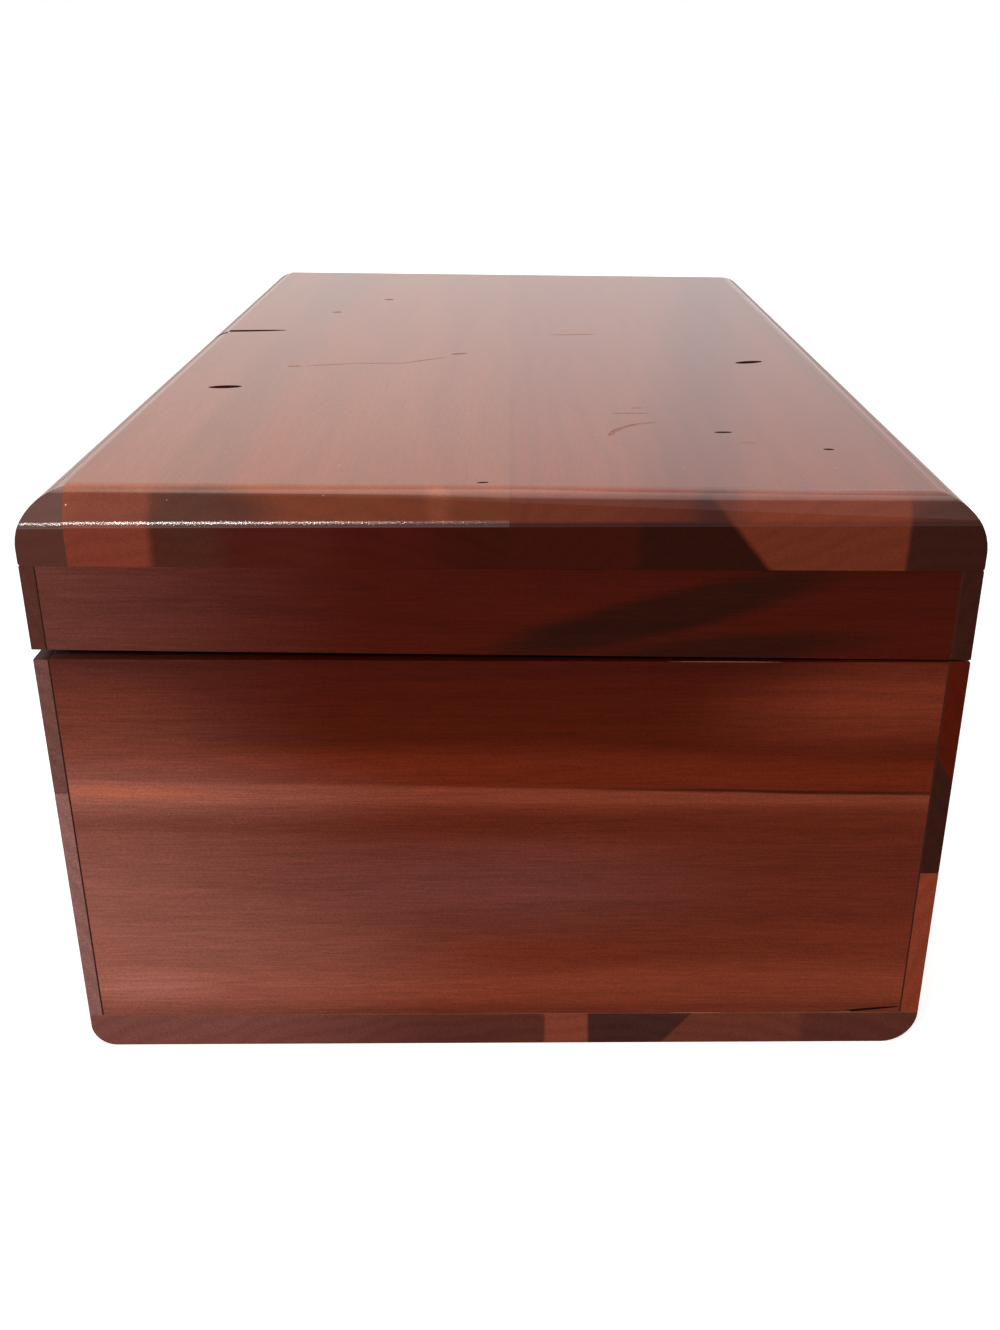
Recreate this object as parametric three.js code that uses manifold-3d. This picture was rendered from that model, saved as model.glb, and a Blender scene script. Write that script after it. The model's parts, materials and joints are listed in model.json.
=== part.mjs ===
// Miniature cedar hope chest: a glued box, a hinged lid with a rolled edge and a small box lock.
// Millimetres, +Z up. The origin is the centre of the bottom face. +X is the right end, -Y the front.

import * as THREE from 'three';
import { mergeVertices } from 'three/addons/utils/BufferGeometryUtils.js';
import Module from 'manifold-3d';

const wasm = await Module();
wasm.setup();

// Overall sizes
const chestLength = 229;
const chestWidth = 124;
const wallThickness = 9.5;
const bottomThickness = 5.3;
const wallHeight = 55.9;
const rimHeight = 12.5;
const topThickness = 9.6;

// The lid sits a little open at the front, so its rim tapers towards the hinges
const frontLidGap = 1.3;
const backLidGap = 0.3;

// Rounded edges: the long top edges, the top edges at the ends, and the long bottom edges
const topEdgeRadius = 7.5;
const topEndRadius = 3.2;
const bottomFrontRadius = 3.5;
const bottomBackRadius = 5.2;

// Corner joints: what is left of the front and back boards outside the end boards
const frontLip = 2;
const backLip = 2.8;

// Edge-glued boards: the width of each stave but the last
const frontLowerStave = 36.5;
const backLowerStave = 23.9;
const topFrontStrip = 6.3;
const topMiddleStave = 56.1;

// Stop hinges
const hingeSpacing = 136;
const hingeLength = 22;
const leafWidth = 7.2;
const leafThickness = 1.1;
const barrelRadius = 1.9;
const barrelStandoff = 0.2;
const knuckleGap = 0.2;
const hingePinRadius = 0.8;
const hingePinProud = 0.3;
const stopLength = 4.8;
const stopThickness = 1.2;
const stopClearance = 0.15;
const lidOpening = THREE.MathUtils.degToRad(100);
const hingeScrewInset = 4.2;

// Countersunk screws
const screwHeadRadius = 1.7;
const screwHeadDepth = 0.85;
const screwShankRadius = 0.85;
const screwPointLength = 1.6;
const screwLength = 7;
const flangeScrewLength = 5.6;

// Box lock
const lockPlateLength = 36;
const lockPlateThickness = 0.9;
const caseLength = 26;
const caseDepth = 6.5;
const caseWall = 0.9;
const capThickness = 0.8;
const runnerThickness = 0.8;
const runnerDepth = 9.8;
const runnerGap = 10;
const lockScrewInset = 2.5;
const flangeScrewDepth = 11;

// Bolt, in its open place
const boltThickness = 1.4;
const boltBarHeight = 3.1;
const boltBarLength = 14;
const boltEndRoom = 2.5;
const boltTongueHeight = 2;
const boltTongueRest = 0.6;
const boltTongueLength = 2.6;
const talonLength = 3;
const talonDepth = 1.4;
const springThickness = 0.4;
const springOverhang = 1;
const springBow = 1.2;

// Key post and keyhole
const keyDepth = 13.2;
const keyPostRise = 4.8;
const keyPostRadius = 0.8;
const keyholeRadius = 1.7;
const keySlotWidth = 1.5;
const keySlotDrop = 3.4;

// Keyhole plate and its pins
const escutcheonHalfWidth = 5.5;
const escutcheonHalfHeight = 8.6;
const escutcheonThickness = 0.8;
const escutcheonLowering = 1.4;
const escutcheonPinInset = 2;
const pinHeadRadius = 1;
const pinHeadHeight = 0.5;
const pinShankRadius = 0.45;
const pinLength = 2.6;

// Strike plate with its staple, in the rim of the lid
const strikeLength = 22;
const strikeWidth = 5.6;
const strikeThickness = 1;
const strikeScrewInset = 3;
const stapleThickness = 1.6;
const stapleWidth = 3.6;
const stapleDrop = 5.9;
const stapleWall = 0.8;
const stapleWindowHeight = 2.6;

// Clearances
const mortiseFit = 0.15;
const screwFit = 0.12;
const pinFit = 0.1;
const slideFit = 0.3;
const stapleFit = 0.5;
const overrun = 2;

// Facets
const roundSides = 12;
const arcSteps = 6;

// Places worked out from the sizes above
const halfLength = chestLength / 2;
const halfWidth = chestWidth / 2;
const bodyTop = bottomThickness + wallHeight;
const rimTop = bodyTop + rimHeight;
const chestTop = rimTop + topThickness;
const innerHalfLength = halfLength - wallThickness;
const innerFront = -halfWidth + wallThickness;
const innerBack = halfWidth - wallThickness;
const frontJoint = bottomThickness + frontLowerStave;
const backJoint = bottomThickness + backLowerStave;
const stripJoint = -halfWidth + topFrontStrip;
const middleJoint = stripJoint + topMiddleStave;
const barrelReach = barrelStandoff + barrelRadius;
const hingeY = halfWidth + barrelReach;
const hingeZ = bodyTop + backLidGap / 2;
const knuckleLength = (hingeLength - 2 * knuckleGap) / 3;
const lockHeight = keyDepth + keyPostRise;
const escutcheonDrop = keyDepth + escutcheonLowering;

// Finishes
function finish(color, roughness, metalness) {
  return new THREE.MeshStandardMaterial({ color, roughness, metalness, flatShading: true });
}

const cedarDark = () => finish(0x5c2418, 0.35, 0);
const cedarRed = () => finish(0x7a3524, 0.35, 0);
const cedarTop = () => finish(0x86402c, 0.3, 0);
const cedarPlain = () => finish(0x8a4a34, 0.6, 0);
const brass = () => finish(0xb08d4a, 0.35, 1);
const steel = () => finish(0x8a8780, 0.4, 1);

// Solids: three.js geometry in, a shape that can be cut and joined out
function solid(geometry) {
  const bare = geometry.clone();
  bare.deleteAttribute('normal');
  bare.deleteAttribute('uv');
  const merged = mergeVertices(bare);
  const vertProperties = new Float32Array(merged.attributes.position.array);
  const triVerts = new Uint32Array(merged.index.array);
  return new wasm.Manifold(new wasm.Mesh({ numProp: 3, vertProperties, triVerts }));
}

// A block between two places along each axis, given in either order
function block(...ranges) {
  const sizes = ranges.map(([from, to]) => Math.abs(to - from));
  const middle = ranges.map(([from, to]) => (from + to) / 2);
  const geometry = new THREE.BoxGeometry(...sizes);
  geometry.translate(...middle);
  return solid(geometry);
}

// A shape drawn in Y and Z, as long as the range along X
function alongX(shape, [x0, x1]) {
  const options = { depth: x1 - x0, bevelEnabled: false, curveSegments: arcSteps };
  const geometry = new THREE.ExtrudeGeometry(shape, options);
  const turn = new THREE.Matrix4().makeBasis(
    new THREE.Vector3(0, 1, 0), new THREE.Vector3(0, 0, 1), new THREE.Vector3(1, 0, 0));
  geometry.applyMatrix4(turn);
  geometry.translate(x0, 0, 0);
  return solid(geometry);
}

// A shape drawn in X and Z, as deep as the range along Y
function alongY(shape, [y0, y1]) {
  const options = { depth: y1 - y0, bevelEnabled: false, curveSegments: arcSteps };
  const geometry = new THREE.ExtrudeGeometry(shape, options);
  const turn = new THREE.Matrix4().makeBasis(
    new THREE.Vector3(1, 0, 0), new THREE.Vector3(0, 0, 1), new THREE.Vector3(0, -1, 0));
  geometry.applyMatrix4(turn);
  geometry.translate(0, y1, 0);
  return solid(geometry);
}

function rodAlongX(radius, [x0, x1]) {
  const geometry = new THREE.CylinderGeometry(radius, radius, x1 - x0, roundSides);
  geometry.rotateZ(Math.PI / 2);
  geometry.translate((x0 + x1) / 2, 0, 0);
  return solid(geometry);
}

// A rectangle with its own radius at each corner, square where the radius is 0
function cornered([u0, u1], [v0, v1], { lowLow = 0, highLow = 0, highHigh = 0, lowHigh = 0 }) {
  const quarter = Math.PI / 2;
  const corners = [
    [u0, v0, 1, 1, lowLow, 2],
    [u1, v0, -1, 1, highLow, 3],
    [u1, v1, -1, -1, highHigh, 0],
    [u0, v1, 1, -1, lowHigh, 1],
  ];
  const shape = new THREE.Shape();
  corners.forEach(([u, v, towardsU, towardsV, radius, turn], index) => {
    if (radius > 0) {
      const centre = [u + towardsU * radius, v + towardsV * radius];
      shape.absarc(...centre, radius, turn * quarter, (turn + 1) * quarter, false);
    } else if (index === 0) {
      shape.moveTo(u, v);
    } else {
      shape.lineTo(u, v);
    }
  });
  return shape;
}

function turned(profile) {
  const points = profile.map(([radius, height]) => new THREE.Vector2(radius, height));
  return new THREE.LatheGeometry(points, roundSides);
}

// A screw with the top of its head at the origin and its point towards -Y
function screwGeometry(length) {
  return turned([
    [0, -length],
    [screwShankRadius, screwPointLength - length],
    [screwShankRadius, -screwHeadDepth],
    [screwHeadRadius, 0],
    [0, 0],
  ]);
}

function screwHoleGeometry(length) {
  const bore = screwShankRadius + screwFit;
  const mouth = screwHeadRadius + screwFit;
  return turned([
    [0, -length - screwFit],
    [bore, -length - screwFit],
    [bore, -screwHeadDepth],
    [mouth, 0],
    [mouth, overrun],
    [0, overrun],
  ]);
}

// The four ways that a screw points, as turns about X from -Y
const pointing = { front: 0, down: Math.PI / 2, up: -Math.PI / 2 };

function placedHole(geometry, turn, [x, y, z]) {
  geometry.rotateX(turn);
  geometry.translate(x, y, z);
  return solid(geometry);
}

// Scene graph helpers
const chest = new THREE.Group();
const box = new THREE.Group();
const lid = new THREE.Group();
chest.add(box, lid);

function meshOf(name, shape, material) {
  const { vertProperties, triVerts } = shape.getMesh();
  const geometry = new THREE.BufferGeometry();
  geometry.setAttribute('position', new THREE.BufferAttribute(vertProperties, 3));
  geometry.setIndex(new THREE.BufferAttribute(triVerts, 1));
  geometry.computeVertexNormals();
  const mesh = new THREE.Mesh(geometry, material);
  mesh.name = name;
  return mesh;
}

function addFastener(parent, name, geometry, turn, [x, y, z], material) {
  const mesh = meshOf(name, solid(geometry), material);
  mesh.rotation.x = turn;
  mesh.position.set(x, y, z);
  parent.add(mesh);
}

// Stop hinge, about its pin: the box leaf has the outer knuckles, the lid leaf the middle one
function leafPlate(side) {
  const face = side * backLidGap / 2;
  const heights = [face, face + side * leafThickness];
  return block([-hingeLength / 2, hingeLength / 2], [-barrelReach - leafWidth, 0], heights);
}

// The room that a knuckle of the other leaf needs behind the wood
function knuckleRoom(range) {
  return block(range, [-barrelReach, barrelReach], [-barrelReach, barrelReach]);
}

const hingeEnd = hingeLength / 2;
const middleEnd = knuckleLength / 2;
const outerStart = middleEnd + knuckleGap;
const outerKnuckles = [[-hingeEnd, -outerStart], [outerStart, hingeEnd]];
const pinBore = rodAlongX(hingePinRadius + pinFit, [-hingeEnd - overrun, hingeEnd + overrun]);
const hingeScrewY = -barrelReach - leafWidth / 2;
const hingeScrewXs = [-hingeEnd + hingeScrewInset, hingeEnd - hingeScrewInset];
const boxLeafFace = -backLidGap / 2;
const lidLeafFace = backLidGap / 2;

function boxLeaf() {
  let leaf = leafPlate(-1).subtract(knuckleRoom([-outerStart, outerStart]));
  for (const range of outerKnuckles) {
    leaf = leaf.add(rodAlongX(barrelRadius, range));
  }
  for (const x of hingeScrewXs) {
    const place = [x, hingeScrewY, boxLeafFace];
    leaf = leaf.subtract(placedHole(screwHoleGeometry(screwLength), pointing.down, place));
  }
  return leaf.subtract(pinBore);
}

// The stop is a lug on the middle knuckle that swings down and meets the back of the box.
// Its corner reaches the wall, less the clearance, when the lid is fully open.
function stopLug() {
  const cornerReach = Math.hypot(stopLength, stopThickness / 2);
  const cornerAngle = Math.atan2(stopThickness / 2, stopLength);
  const lean = Math.asin((barrelReach - stopClearance) / cornerReach) - cornerAngle;
  const restAngle = lidOpening - Math.PI / 2 - lean;
  const geometry = new THREE.BoxGeometry(knuckleLength, stopLength, stopThickness);
  geometry.translate(0, stopLength / 2, 0);
  geometry.rotateX(restAngle);
  return solid(geometry);
}

function lidLeaf() {
  let leaf = leafPlate(1);
  for (const side of [-1, 1]) {
    leaf = leaf.subtract(knuckleRoom([side * middleEnd, side * (hingeEnd + overrun)]));
  }
  leaf = leaf.add(rodAlongX(barrelRadius, [-middleEnd, middleEnd])).add(stopLug());
  for (const x of hingeScrewXs) {
    const place = [x, hingeScrewY, lidLeafFace];
    leaf = leaf.subtract(placedHole(screwHoleGeometry(screwLength), pointing.up, place));
  }
  return leaf.subtract(pinBore);
}

const hingePlaces = [['right', hingeSpacing / 2], ['left', -hingeSpacing / 2]];

function addHinge(side, x) {
  const boxHalf = new THREE.Group();
  const lidHalf = new THREE.Group();
  boxHalf.position.set(x, hingeY, hingeZ);
  lidHalf.position.copy(boxHalf.position);
  boxHalf.add(meshOf(`${side}_hinge_box_leaf`, boxLeaf(), brass()));
  lidHalf.add(meshOf(`${side}_hinge_lid_leaf`, lidLeaf(), brass()));
  const pinEnd = hingeEnd + hingePinProud;
  boxHalf.add(meshOf(`${side}_hinge_pin`, rodAlongX(hingePinRadius, [-pinEnd, pinEnd]), brass()));
  hingeScrewXs.forEach((screwX, index) => {
    const inBox = [screwX, hingeScrewY, boxLeafFace];
    const inLid = [screwX, hingeScrewY, lidLeafFace];
    const number = index + 1;
    const screw = screwGeometry(screwLength);
    addFastener(boxHalf, `${side}_hinge_box_screw_${number}`, screw, pointing.down, inBox, brass());
    addFastener(lidHalf, `${side}_hinge_lid_screw_${number}`, screw, pointing.up, inLid, brass());
  });
  box.add(boxHalf);
  lid.add(lidHalf);
}

// Cuts for the hinges in the back of the box and in the back rail of the lid
function cutForHinges(board, side) {
  let cut = board;
  for (const [, x] of hingePlaces) {
    const face = side * backLidGap / 2;
    const heights = [-side * overrun, face + side * leafThickness];
    const reach = hingeEnd + mortiseFit;
    const mortise = block([-reach, reach], [-barrelReach - leafWidth - mortiseFit, barrelReach], heights);
    cut = cut.subtract(mortise.translate([x, hingeY, hingeZ]));
    for (const screwX of hingeScrewXs) {
      const turn = side > 0 ? pointing.up : pointing.down;
      const place = [x + screwX, hingeY + hingeScrewY, hingeZ + face];
      cut = cut.subtract(placedHole(screwHoleGeometry(screwLength), turn, place));
    }
  }
  return cut;
}

// Box lock, about the top of the inner face of the front wall
const lockEnd = lockPlateLength / 2;
const caseEnd = caseLength / 2;
const capFront = -caseDepth;
const capBack = -caseDepth + capThickness;
const lockMiddle = (capBack - lockPlateThickness) / 2;
const lockScrewX = lockEnd - lockScrewInset;
const tongueMiddle = -stapleDrop + stapleWall + stapleWindowHeight / 2;
const tongueTop = tongueMiddle + boltTongueHeight / 2;
const tongueBottom = tongueMiddle - boltTongueHeight / 2;
const tongueTip = -stapleThickness / 2 - boltTongueRest;
const barBottom = -runnerDepth + slideFit;
const barTop = barBottom + boltBarHeight;
const postRight = tongueTip - boltTongueLength;
const postLeft = caseWall + boltEndRoom - caseEnd;

function keyholeShape() {
  const shape = new THREE.Shape();
  const open = Math.asin(keySlotWidth / 2 / keyholeRadius);
  const start = -Math.PI / 2 + open;
  shape.absarc(0, -keyDepth, keyholeRadius, start, start + 2 * (Math.PI - open), false);
  shape.lineTo(-keySlotWidth / 2, -keyDepth - keySlotDrop);
  shape.lineTo(keySlotWidth / 2, -keyDepth - keySlotDrop);
  return shape;
}

const keyholeCut = alongY(keyholeShape(), [innerFront - halfWidth, overrun]);

function lockScrewHoles() {
  const holes = [];
  for (const x of [-lockScrewX, lockScrewX]) {
    const flange = [x, 0, -flangeScrewDepth];
    const top = [x, lockMiddle, 0];
    holes.push(placedHole(screwHoleGeometry(flangeScrewLength), pointing.front, flange));
    holes.push(placedHole(screwHoleGeometry(screwLength), pointing.down, top));
  }
  return holes;
}

function lockCase() {
  const wallDepths = [capBack, 0];
  const topPlate = [-lockPlateThickness, 0];
  let shape = block([-lockEnd, lockEnd], topPlate, [-lockHeight, 0]);
  shape = shape.add(block([-lockEnd, lockEnd], [capFront, 0], topPlate));
  shape = shape.add(block([-caseEnd, caseEnd], wallDepths, [-lockHeight, caseWall - lockHeight]));
  for (const side of [-1, 1]) {
    const inner = side * (caseEnd - caseWall);
    const runner = [side * runnerGap / 2, inner];
    shape = shape.add(block([side * caseEnd, inner], wallDepths, [-lockHeight, 0]));
    shape = shape.add(block(runner, wallDepths, [-runnerDepth - runnerThickness, -runnerDepth]));
  }
  const slotX = stapleThickness / 2 + stapleFit;
  const slotY = stapleWidth / 2 + stapleFit;
  const slot = block([-slotX, slotX], [lockMiddle - slotY, lockMiddle + slotY],
    [-lockPlateThickness - mortiseFit, overrun]);
  return lockScrewHoles().reduce((made, hole) => made.subtract(hole), shape.subtract(slot));
}

function lockCap() {
  const plate = block([-caseEnd, caseEnd], [capFront, capBack], [-lockHeight, -lockPlateThickness]);
  return plate.subtract(keyholeCut);
}

function lockBolt() {
  const outline = new THREE.Shape();
  const barRight = postLeft + boltBarLength;
  outline.moveTo(postLeft, barBottom);
  outline.lineTo(-talonLength / 2, barBottom);
  outline.lineTo(-talonLength / 2, barBottom + talonDepth);
  outline.lineTo(talonLength / 2, barBottom + talonDepth);
  outline.lineTo(talonLength / 2, barBottom);
  outline.lineTo(barRight, barBottom);
  outline.lineTo(barRight, barTop);
  outline.lineTo(postRight, barTop);
  outline.lineTo(postRight, tongueBottom);
  outline.lineTo(tongueTip, tongueBottom);
  outline.lineTo(tongueTip, tongueTop);
  outline.lineTo(postLeft, tongueTop);
  return alongY(outline, [lockMiddle - boltThickness / 2, lockMiddle + boltThickness / 2]);
}

// A bowed strip under the top plate that keeps the bolt from rattling
function lockSpring() {
  const left = postLeft - springOverhang;
  const right = postRight + springOverhang;
  const middle = (left + right) / 2;
  const top = -lockPlateThickness - slideFit;
  const outline = new THREE.Shape();
  outline.moveTo(left, top);
  outline.quadraticCurveTo(middle, top - 2 * springBow + springThickness, right, top);
  outline.lineTo(right, top - springThickness);
  outline.quadraticCurveTo(middle, top - 2 * springBow, left, top - springThickness);
  return alongY(outline, [lockMiddle - boltThickness / 2, lockMiddle + boltThickness / 2]);
}

function keyPost() {
  const length = -capBack - lockPlateThickness - slideFit;
  const geometry = new THREE.CylinderGeometry(keyPostRadius, keyPostRadius, length, roundSides);
  geometry.translate(0, -lockPlateThickness - length / 2, -keyDepth);
  return solid(geometry);
}

function escutcheon() {
  const outline = new THREE.Shape();
  outline.absellipse(0, -escutcheonDrop, escutcheonHalfWidth, escutcheonHalfHeight, 0, 2 * Math.PI);
  const front = -wallThickness - escutcheonThickness;
  let plate = alongY(outline, [front, -wallThickness]).subtract(keyholeCut);
  for (const z of escutcheonPinHeights) {
    plate = plate.subtract(placedHole(pinHoleGeometry(), Math.PI, [0, front, z]));
  }
  return plate;
}

// A round-headed pin, its head towards +Y and the underside of the head at the origin
function pinGeometry() {
  const profile = [
    [0, -pinLength],
    [pinShankRadius, -pinLength + pinShankRadius],
    [pinShankRadius, 0],
    [pinHeadRadius, 0],
  ];
  const domeSteps = arcSteps / 2;
  for (let step = 1; step <= domeSteps; step += 1) {
    const angle = step / domeSteps * Math.PI / 2;
    const radius = step === domeSteps ? 0 : pinHeadRadius * Math.cos(angle);
    profile.push([radius, pinHeadHeight * Math.sin(angle)]);
  }
  return turned(profile);
}

function pinHoleGeometry() {
  const bore = pinShankRadius + pinFit;
  return turned([[0, -pinLength - pinFit], [bore, -pinLength - pinFit], [bore, overrun], [0, overrun]]);
}

const pinOffset = escutcheonHalfHeight - escutcheonPinInset;
const escutcheonPinHeights = [pinOffset - escutcheonDrop, -pinOffset - escutcheonDrop];

// The strike plate lies in the rim of the lid, and its staple hangs into the lock
const strikeFace = frontLidGap;
const strikeScrewX = strikeLength / 2 - strikeScrewInset;

function strikePlate() {
  const half = stapleWidth / 2;
  const plateTop = strikeFace + strikeThickness;
  const plate = block([-strikeLength / 2, strikeLength / 2],
    [lockMiddle - strikeWidth / 2, lockMiddle + strikeWidth / 2], [strikeFace, plateTop]);
  const staple = block([-stapleThickness / 2, stapleThickness / 2],
    [lockMiddle - half, lockMiddle + half], [-stapleDrop, plateTop]);
  const window = block([-stapleThickness, stapleThickness],
    [lockMiddle - half + stapleWall, lockMiddle + half - stapleWall],
    [stapleWall - stapleDrop, stapleWall - stapleDrop + stapleWindowHeight]);
  let shape = plate.add(staple).subtract(window);
  for (const x of [-strikeScrewX, strikeScrewX]) {
    const place = [x, lockMiddle, strikeFace];
    shape = shape.subtract(placedHole(screwHoleGeometry(screwLength), pointing.up, place));
  }
  return shape;
}

function addLock() {
  const boxHalf = new THREE.Group();
  const lidHalf = new THREE.Group();
  boxHalf.position.set(0, innerFront, bodyTop);
  lidHalf.position.copy(boxHalf.position);
  boxHalf.add(
    meshOf('lock_case', lockCase(), brass()),
    meshOf('lock_cap', lockCap(), brass()),
    meshOf('lock_bolt', lockBolt(), brass()),
    meshOf('lock_spring', lockSpring(), steel()),
    meshOf('lock_key_post', keyPost(), steel()),
    meshOf('keyhole_plate', escutcheon(), brass()),
  );
  lidHalf.add(meshOf('lid_strike_plate', strikePlate(), brass()));
  const plateFront = -wallThickness - escutcheonThickness;
  escutcheonPinHeights.forEach((z, index) => {
    const name = `keyhole_plate_pin_${index + 1}`;
    addFastener(boxHalf, name, pinGeometry(), Math.PI, [0, plateFront, z], brass());
  });
  [-1, 1].forEach((side, index) => {
    const number = index + 1;
    const long = screwGeometry(screwLength);
    const short = screwGeometry(flangeScrewLength);
    const inSide = [side * lockScrewX, 0, -flangeScrewDepth];
    const inTop = [side * lockScrewX, lockMiddle, 0];
    const inRail = [side * strikeScrewX, lockMiddle, strikeFace];
    addFastener(boxHalf, `lock_side_screw_${number}`, short, pointing.front, inSide, brass());
    addFastener(boxHalf, `lock_top_screw_${number}`, long, pointing.down, inTop, brass());
    addFastener(lidHalf, `strike_screw_${number}`, long, pointing.up, inRail, brass());
  });
  box.add(boxHalf);
  lid.add(lidHalf);
}

// The mortise that the lock is let into from the inside of the front wall, and its keyhole
function cutForLock(board) {
  const plate = block([-lockEnd - mortiseFit, lockEnd + mortiseFit],
    [-lockPlateThickness, overrun], [-lockHeight - mortiseFit, overrun]);
  const edge = block([-lockEnd - mortiseFit, lockEnd + mortiseFit],
    [capFront - mortiseFit, overrun], [-lockPlateThickness, overrun]);
  const pocket = block([-caseEnd - mortiseFit, caseEnd + mortiseFit],
    [capFront - mortiseFit, overrun], [-lockHeight - mortiseFit, overrun]);
  let cutter = plate.add(edge).add(pocket).add(keyholeCut);
  for (const hole of lockScrewHoles()) {
    cutter = cutter.add(hole);
  }
  for (const z of escutcheonPinHeights) {
    const place = [0, -wallThickness - escutcheonThickness, z];
    cutter = cutter.add(placedHole(pinHoleGeometry(), Math.PI, place));
  }
  return board.subtract(cutter.translate([0, innerFront, bodyTop]));
}

function cutForStrike(rail) {
  const half = strikeWidth / 2 + mortiseFit;
  const reach = strikeLength / 2 + mortiseFit;
  let cutter = block([-reach, reach], [lockMiddle - half, lockMiddle + half],
    [-overrun, strikeFace + strikeThickness]);
  for (const x of [-strikeScrewX, strikeScrewX]) {
    const place = [x, lockMiddle, strikeFace];
    cutter = cutter.add(placedHole(screwHoleGeometry(screwLength), pointing.up, place));
  }
  return rail.subtract(cutter.translate([0, innerFront, bodyTop]));
}

// Boards of the box
const wholeLength = [-halfLength, halfLength];
const wholeWidth = [-halfWidth, halfWidth];

function bottomBoard() {
  const radii = { lowLow: bottomFrontRadius, highLow: bottomBackRadius };
  return alongX(cornered(wholeWidth, [0, bottomThickness], radii), wholeLength);
}

// A front or back board, with a rabbet at each end that the end board sits in
function rabbetedBoard(inner, outer, lip, heights) {
  const outwards = Math.sign(outer - inner);
  const rabbet = [inner - outwards * overrun, outer - outwards * lip];
  const tall = [heights[0] - overrun, heights[1] + overrun];
  return block(wholeLength, [inner, outer], heights)
    .subtract(block([innerHalfLength, halfLength + overrun], rabbet, tall))
    .subtract(block([-halfLength - overrun, -innerHalfLength], rabbet, tall));
}

const frontBoard = (heights) => rabbetedBoard(innerFront, -halfWidth, frontLip, heights);
const backBoard = (heights) => rabbetedBoard(innerBack, halfWidth, backLip, heights);

function endBoard(side, heights) {
  const lengths = [side * innerHalfLength, side * halfLength];
  return block(lengths, [-halfWidth + frontLip, halfWidth - backLip], heights);
}

// Boards of the lid. The rim is cut off at a slight slope, which leaves the parting gap.
function aboveParting(rail) {
  const slope = (backLidGap - frontLidGap) / chestWidth;
  const front = -halfWidth - overrun;
  const back = halfWidth + overrun;
  const wedge = new THREE.Shape();
  wedge.moveTo(front, bodyTop - overrun);
  wedge.lineTo(back, bodyTop - overrun);
  wedge.lineTo(back, bodyTop + backLidGap + slope * overrun);
  wedge.lineTo(front, bodyTop + frontLidGap - slope * overrun);
  return rail.subtract(alongX(wedge, [-halfLength - overrun, halfLength + overrun]));
}

function topStave([y0, y1]) {
  const sides = { highHigh: topEdgeRadius, lowHigh: topEdgeRadius };
  const ends = { highHigh: topEndRadius, lowHigh: topEndRadius };
  const heights = [rimTop, chestTop];
  const lengthways = alongX(cornered(wholeWidth, heights, sides), wholeLength);
  const crossways = alongY(cornered(wholeLength, heights, ends), [-halfWidth - overrun, halfWidth + overrun]);
  const stave = block([-halfLength - overrun, halfLength + overrun], [y0, y1],
    [rimTop - overrun, chestTop + overrun]);
  return lengthways.intersect(crossways).intersect(stave);
}

function addBox() {
  const lowerFront = cutForLock(frontBoard([bottomThickness, frontJoint]));
  const upperFront = cutForLock(frontBoard([frontJoint, bodyTop]));
  const upperBack = cutForHinges(backBoard([backJoint, bodyTop]), -1);
  box.add(
    meshOf('bottom_board', bottomBoard(), cedarDark()),
    meshOf('front_wall_lower_board', lowerFront, cedarRed()),
    meshOf('front_wall_upper_board', upperFront, cedarDark()),
    meshOf('back_wall_lower_board', backBoard([bottomThickness, backJoint]), cedarRed()),
    meshOf('back_wall_upper_board', upperBack, cedarDark()),
    meshOf('right_end_wall', endBoard(1, [bottomThickness, bodyTop]), cedarRed()),
    meshOf('left_end_wall', endBoard(-1, [bottomThickness, bodyTop]), cedarRed()),
  );
}

function addLid() {
  const heights = [bodyTop, rimTop];
  const frontRail = cutForStrike(aboveParting(frontBoard(heights)));
  const backRail = cutForHinges(aboveParting(backBoard(heights)), 1);
  const strip = [-halfWidth - overrun, stripJoint];
  lid.add(
    meshOf('lid_front_rail', frontRail, cedarDark()),
    meshOf('lid_back_rail', backRail, cedarDark()),
    meshOf('lid_right_rail', aboveParting(endBoard(1, heights)), cedarRed()),
    meshOf('lid_left_rail', aboveParting(endBoard(-1, heights)), cedarRed()),
    meshOf('lid_top_front_strip', topStave(strip), cedarTop()),
    meshOf('lid_top_middle_board', topStave([stripJoint, middleJoint]), cedarTop()),
    meshOf('lid_top_back_board', topStave([middleJoint, halfWidth + overrun]), cedarPlain()),
  );
}

addBox();
addLid();
hingePlaces.forEach(([side, x]) => addHinge(side, x));
addLock();

export default chest;
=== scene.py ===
"""Looks of a miniature cedar hope chest: lacquered boards, brass stop hinges and a small box lock."""

import json
import logging
import math
from contextlib import contextmanager
from dataclasses import dataclass
from enum import Enum
from functools import partial
from typing import Callable, Iterable, Iterator, Sequence

import bpy
from mathutils import Matrix, Vector

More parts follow.
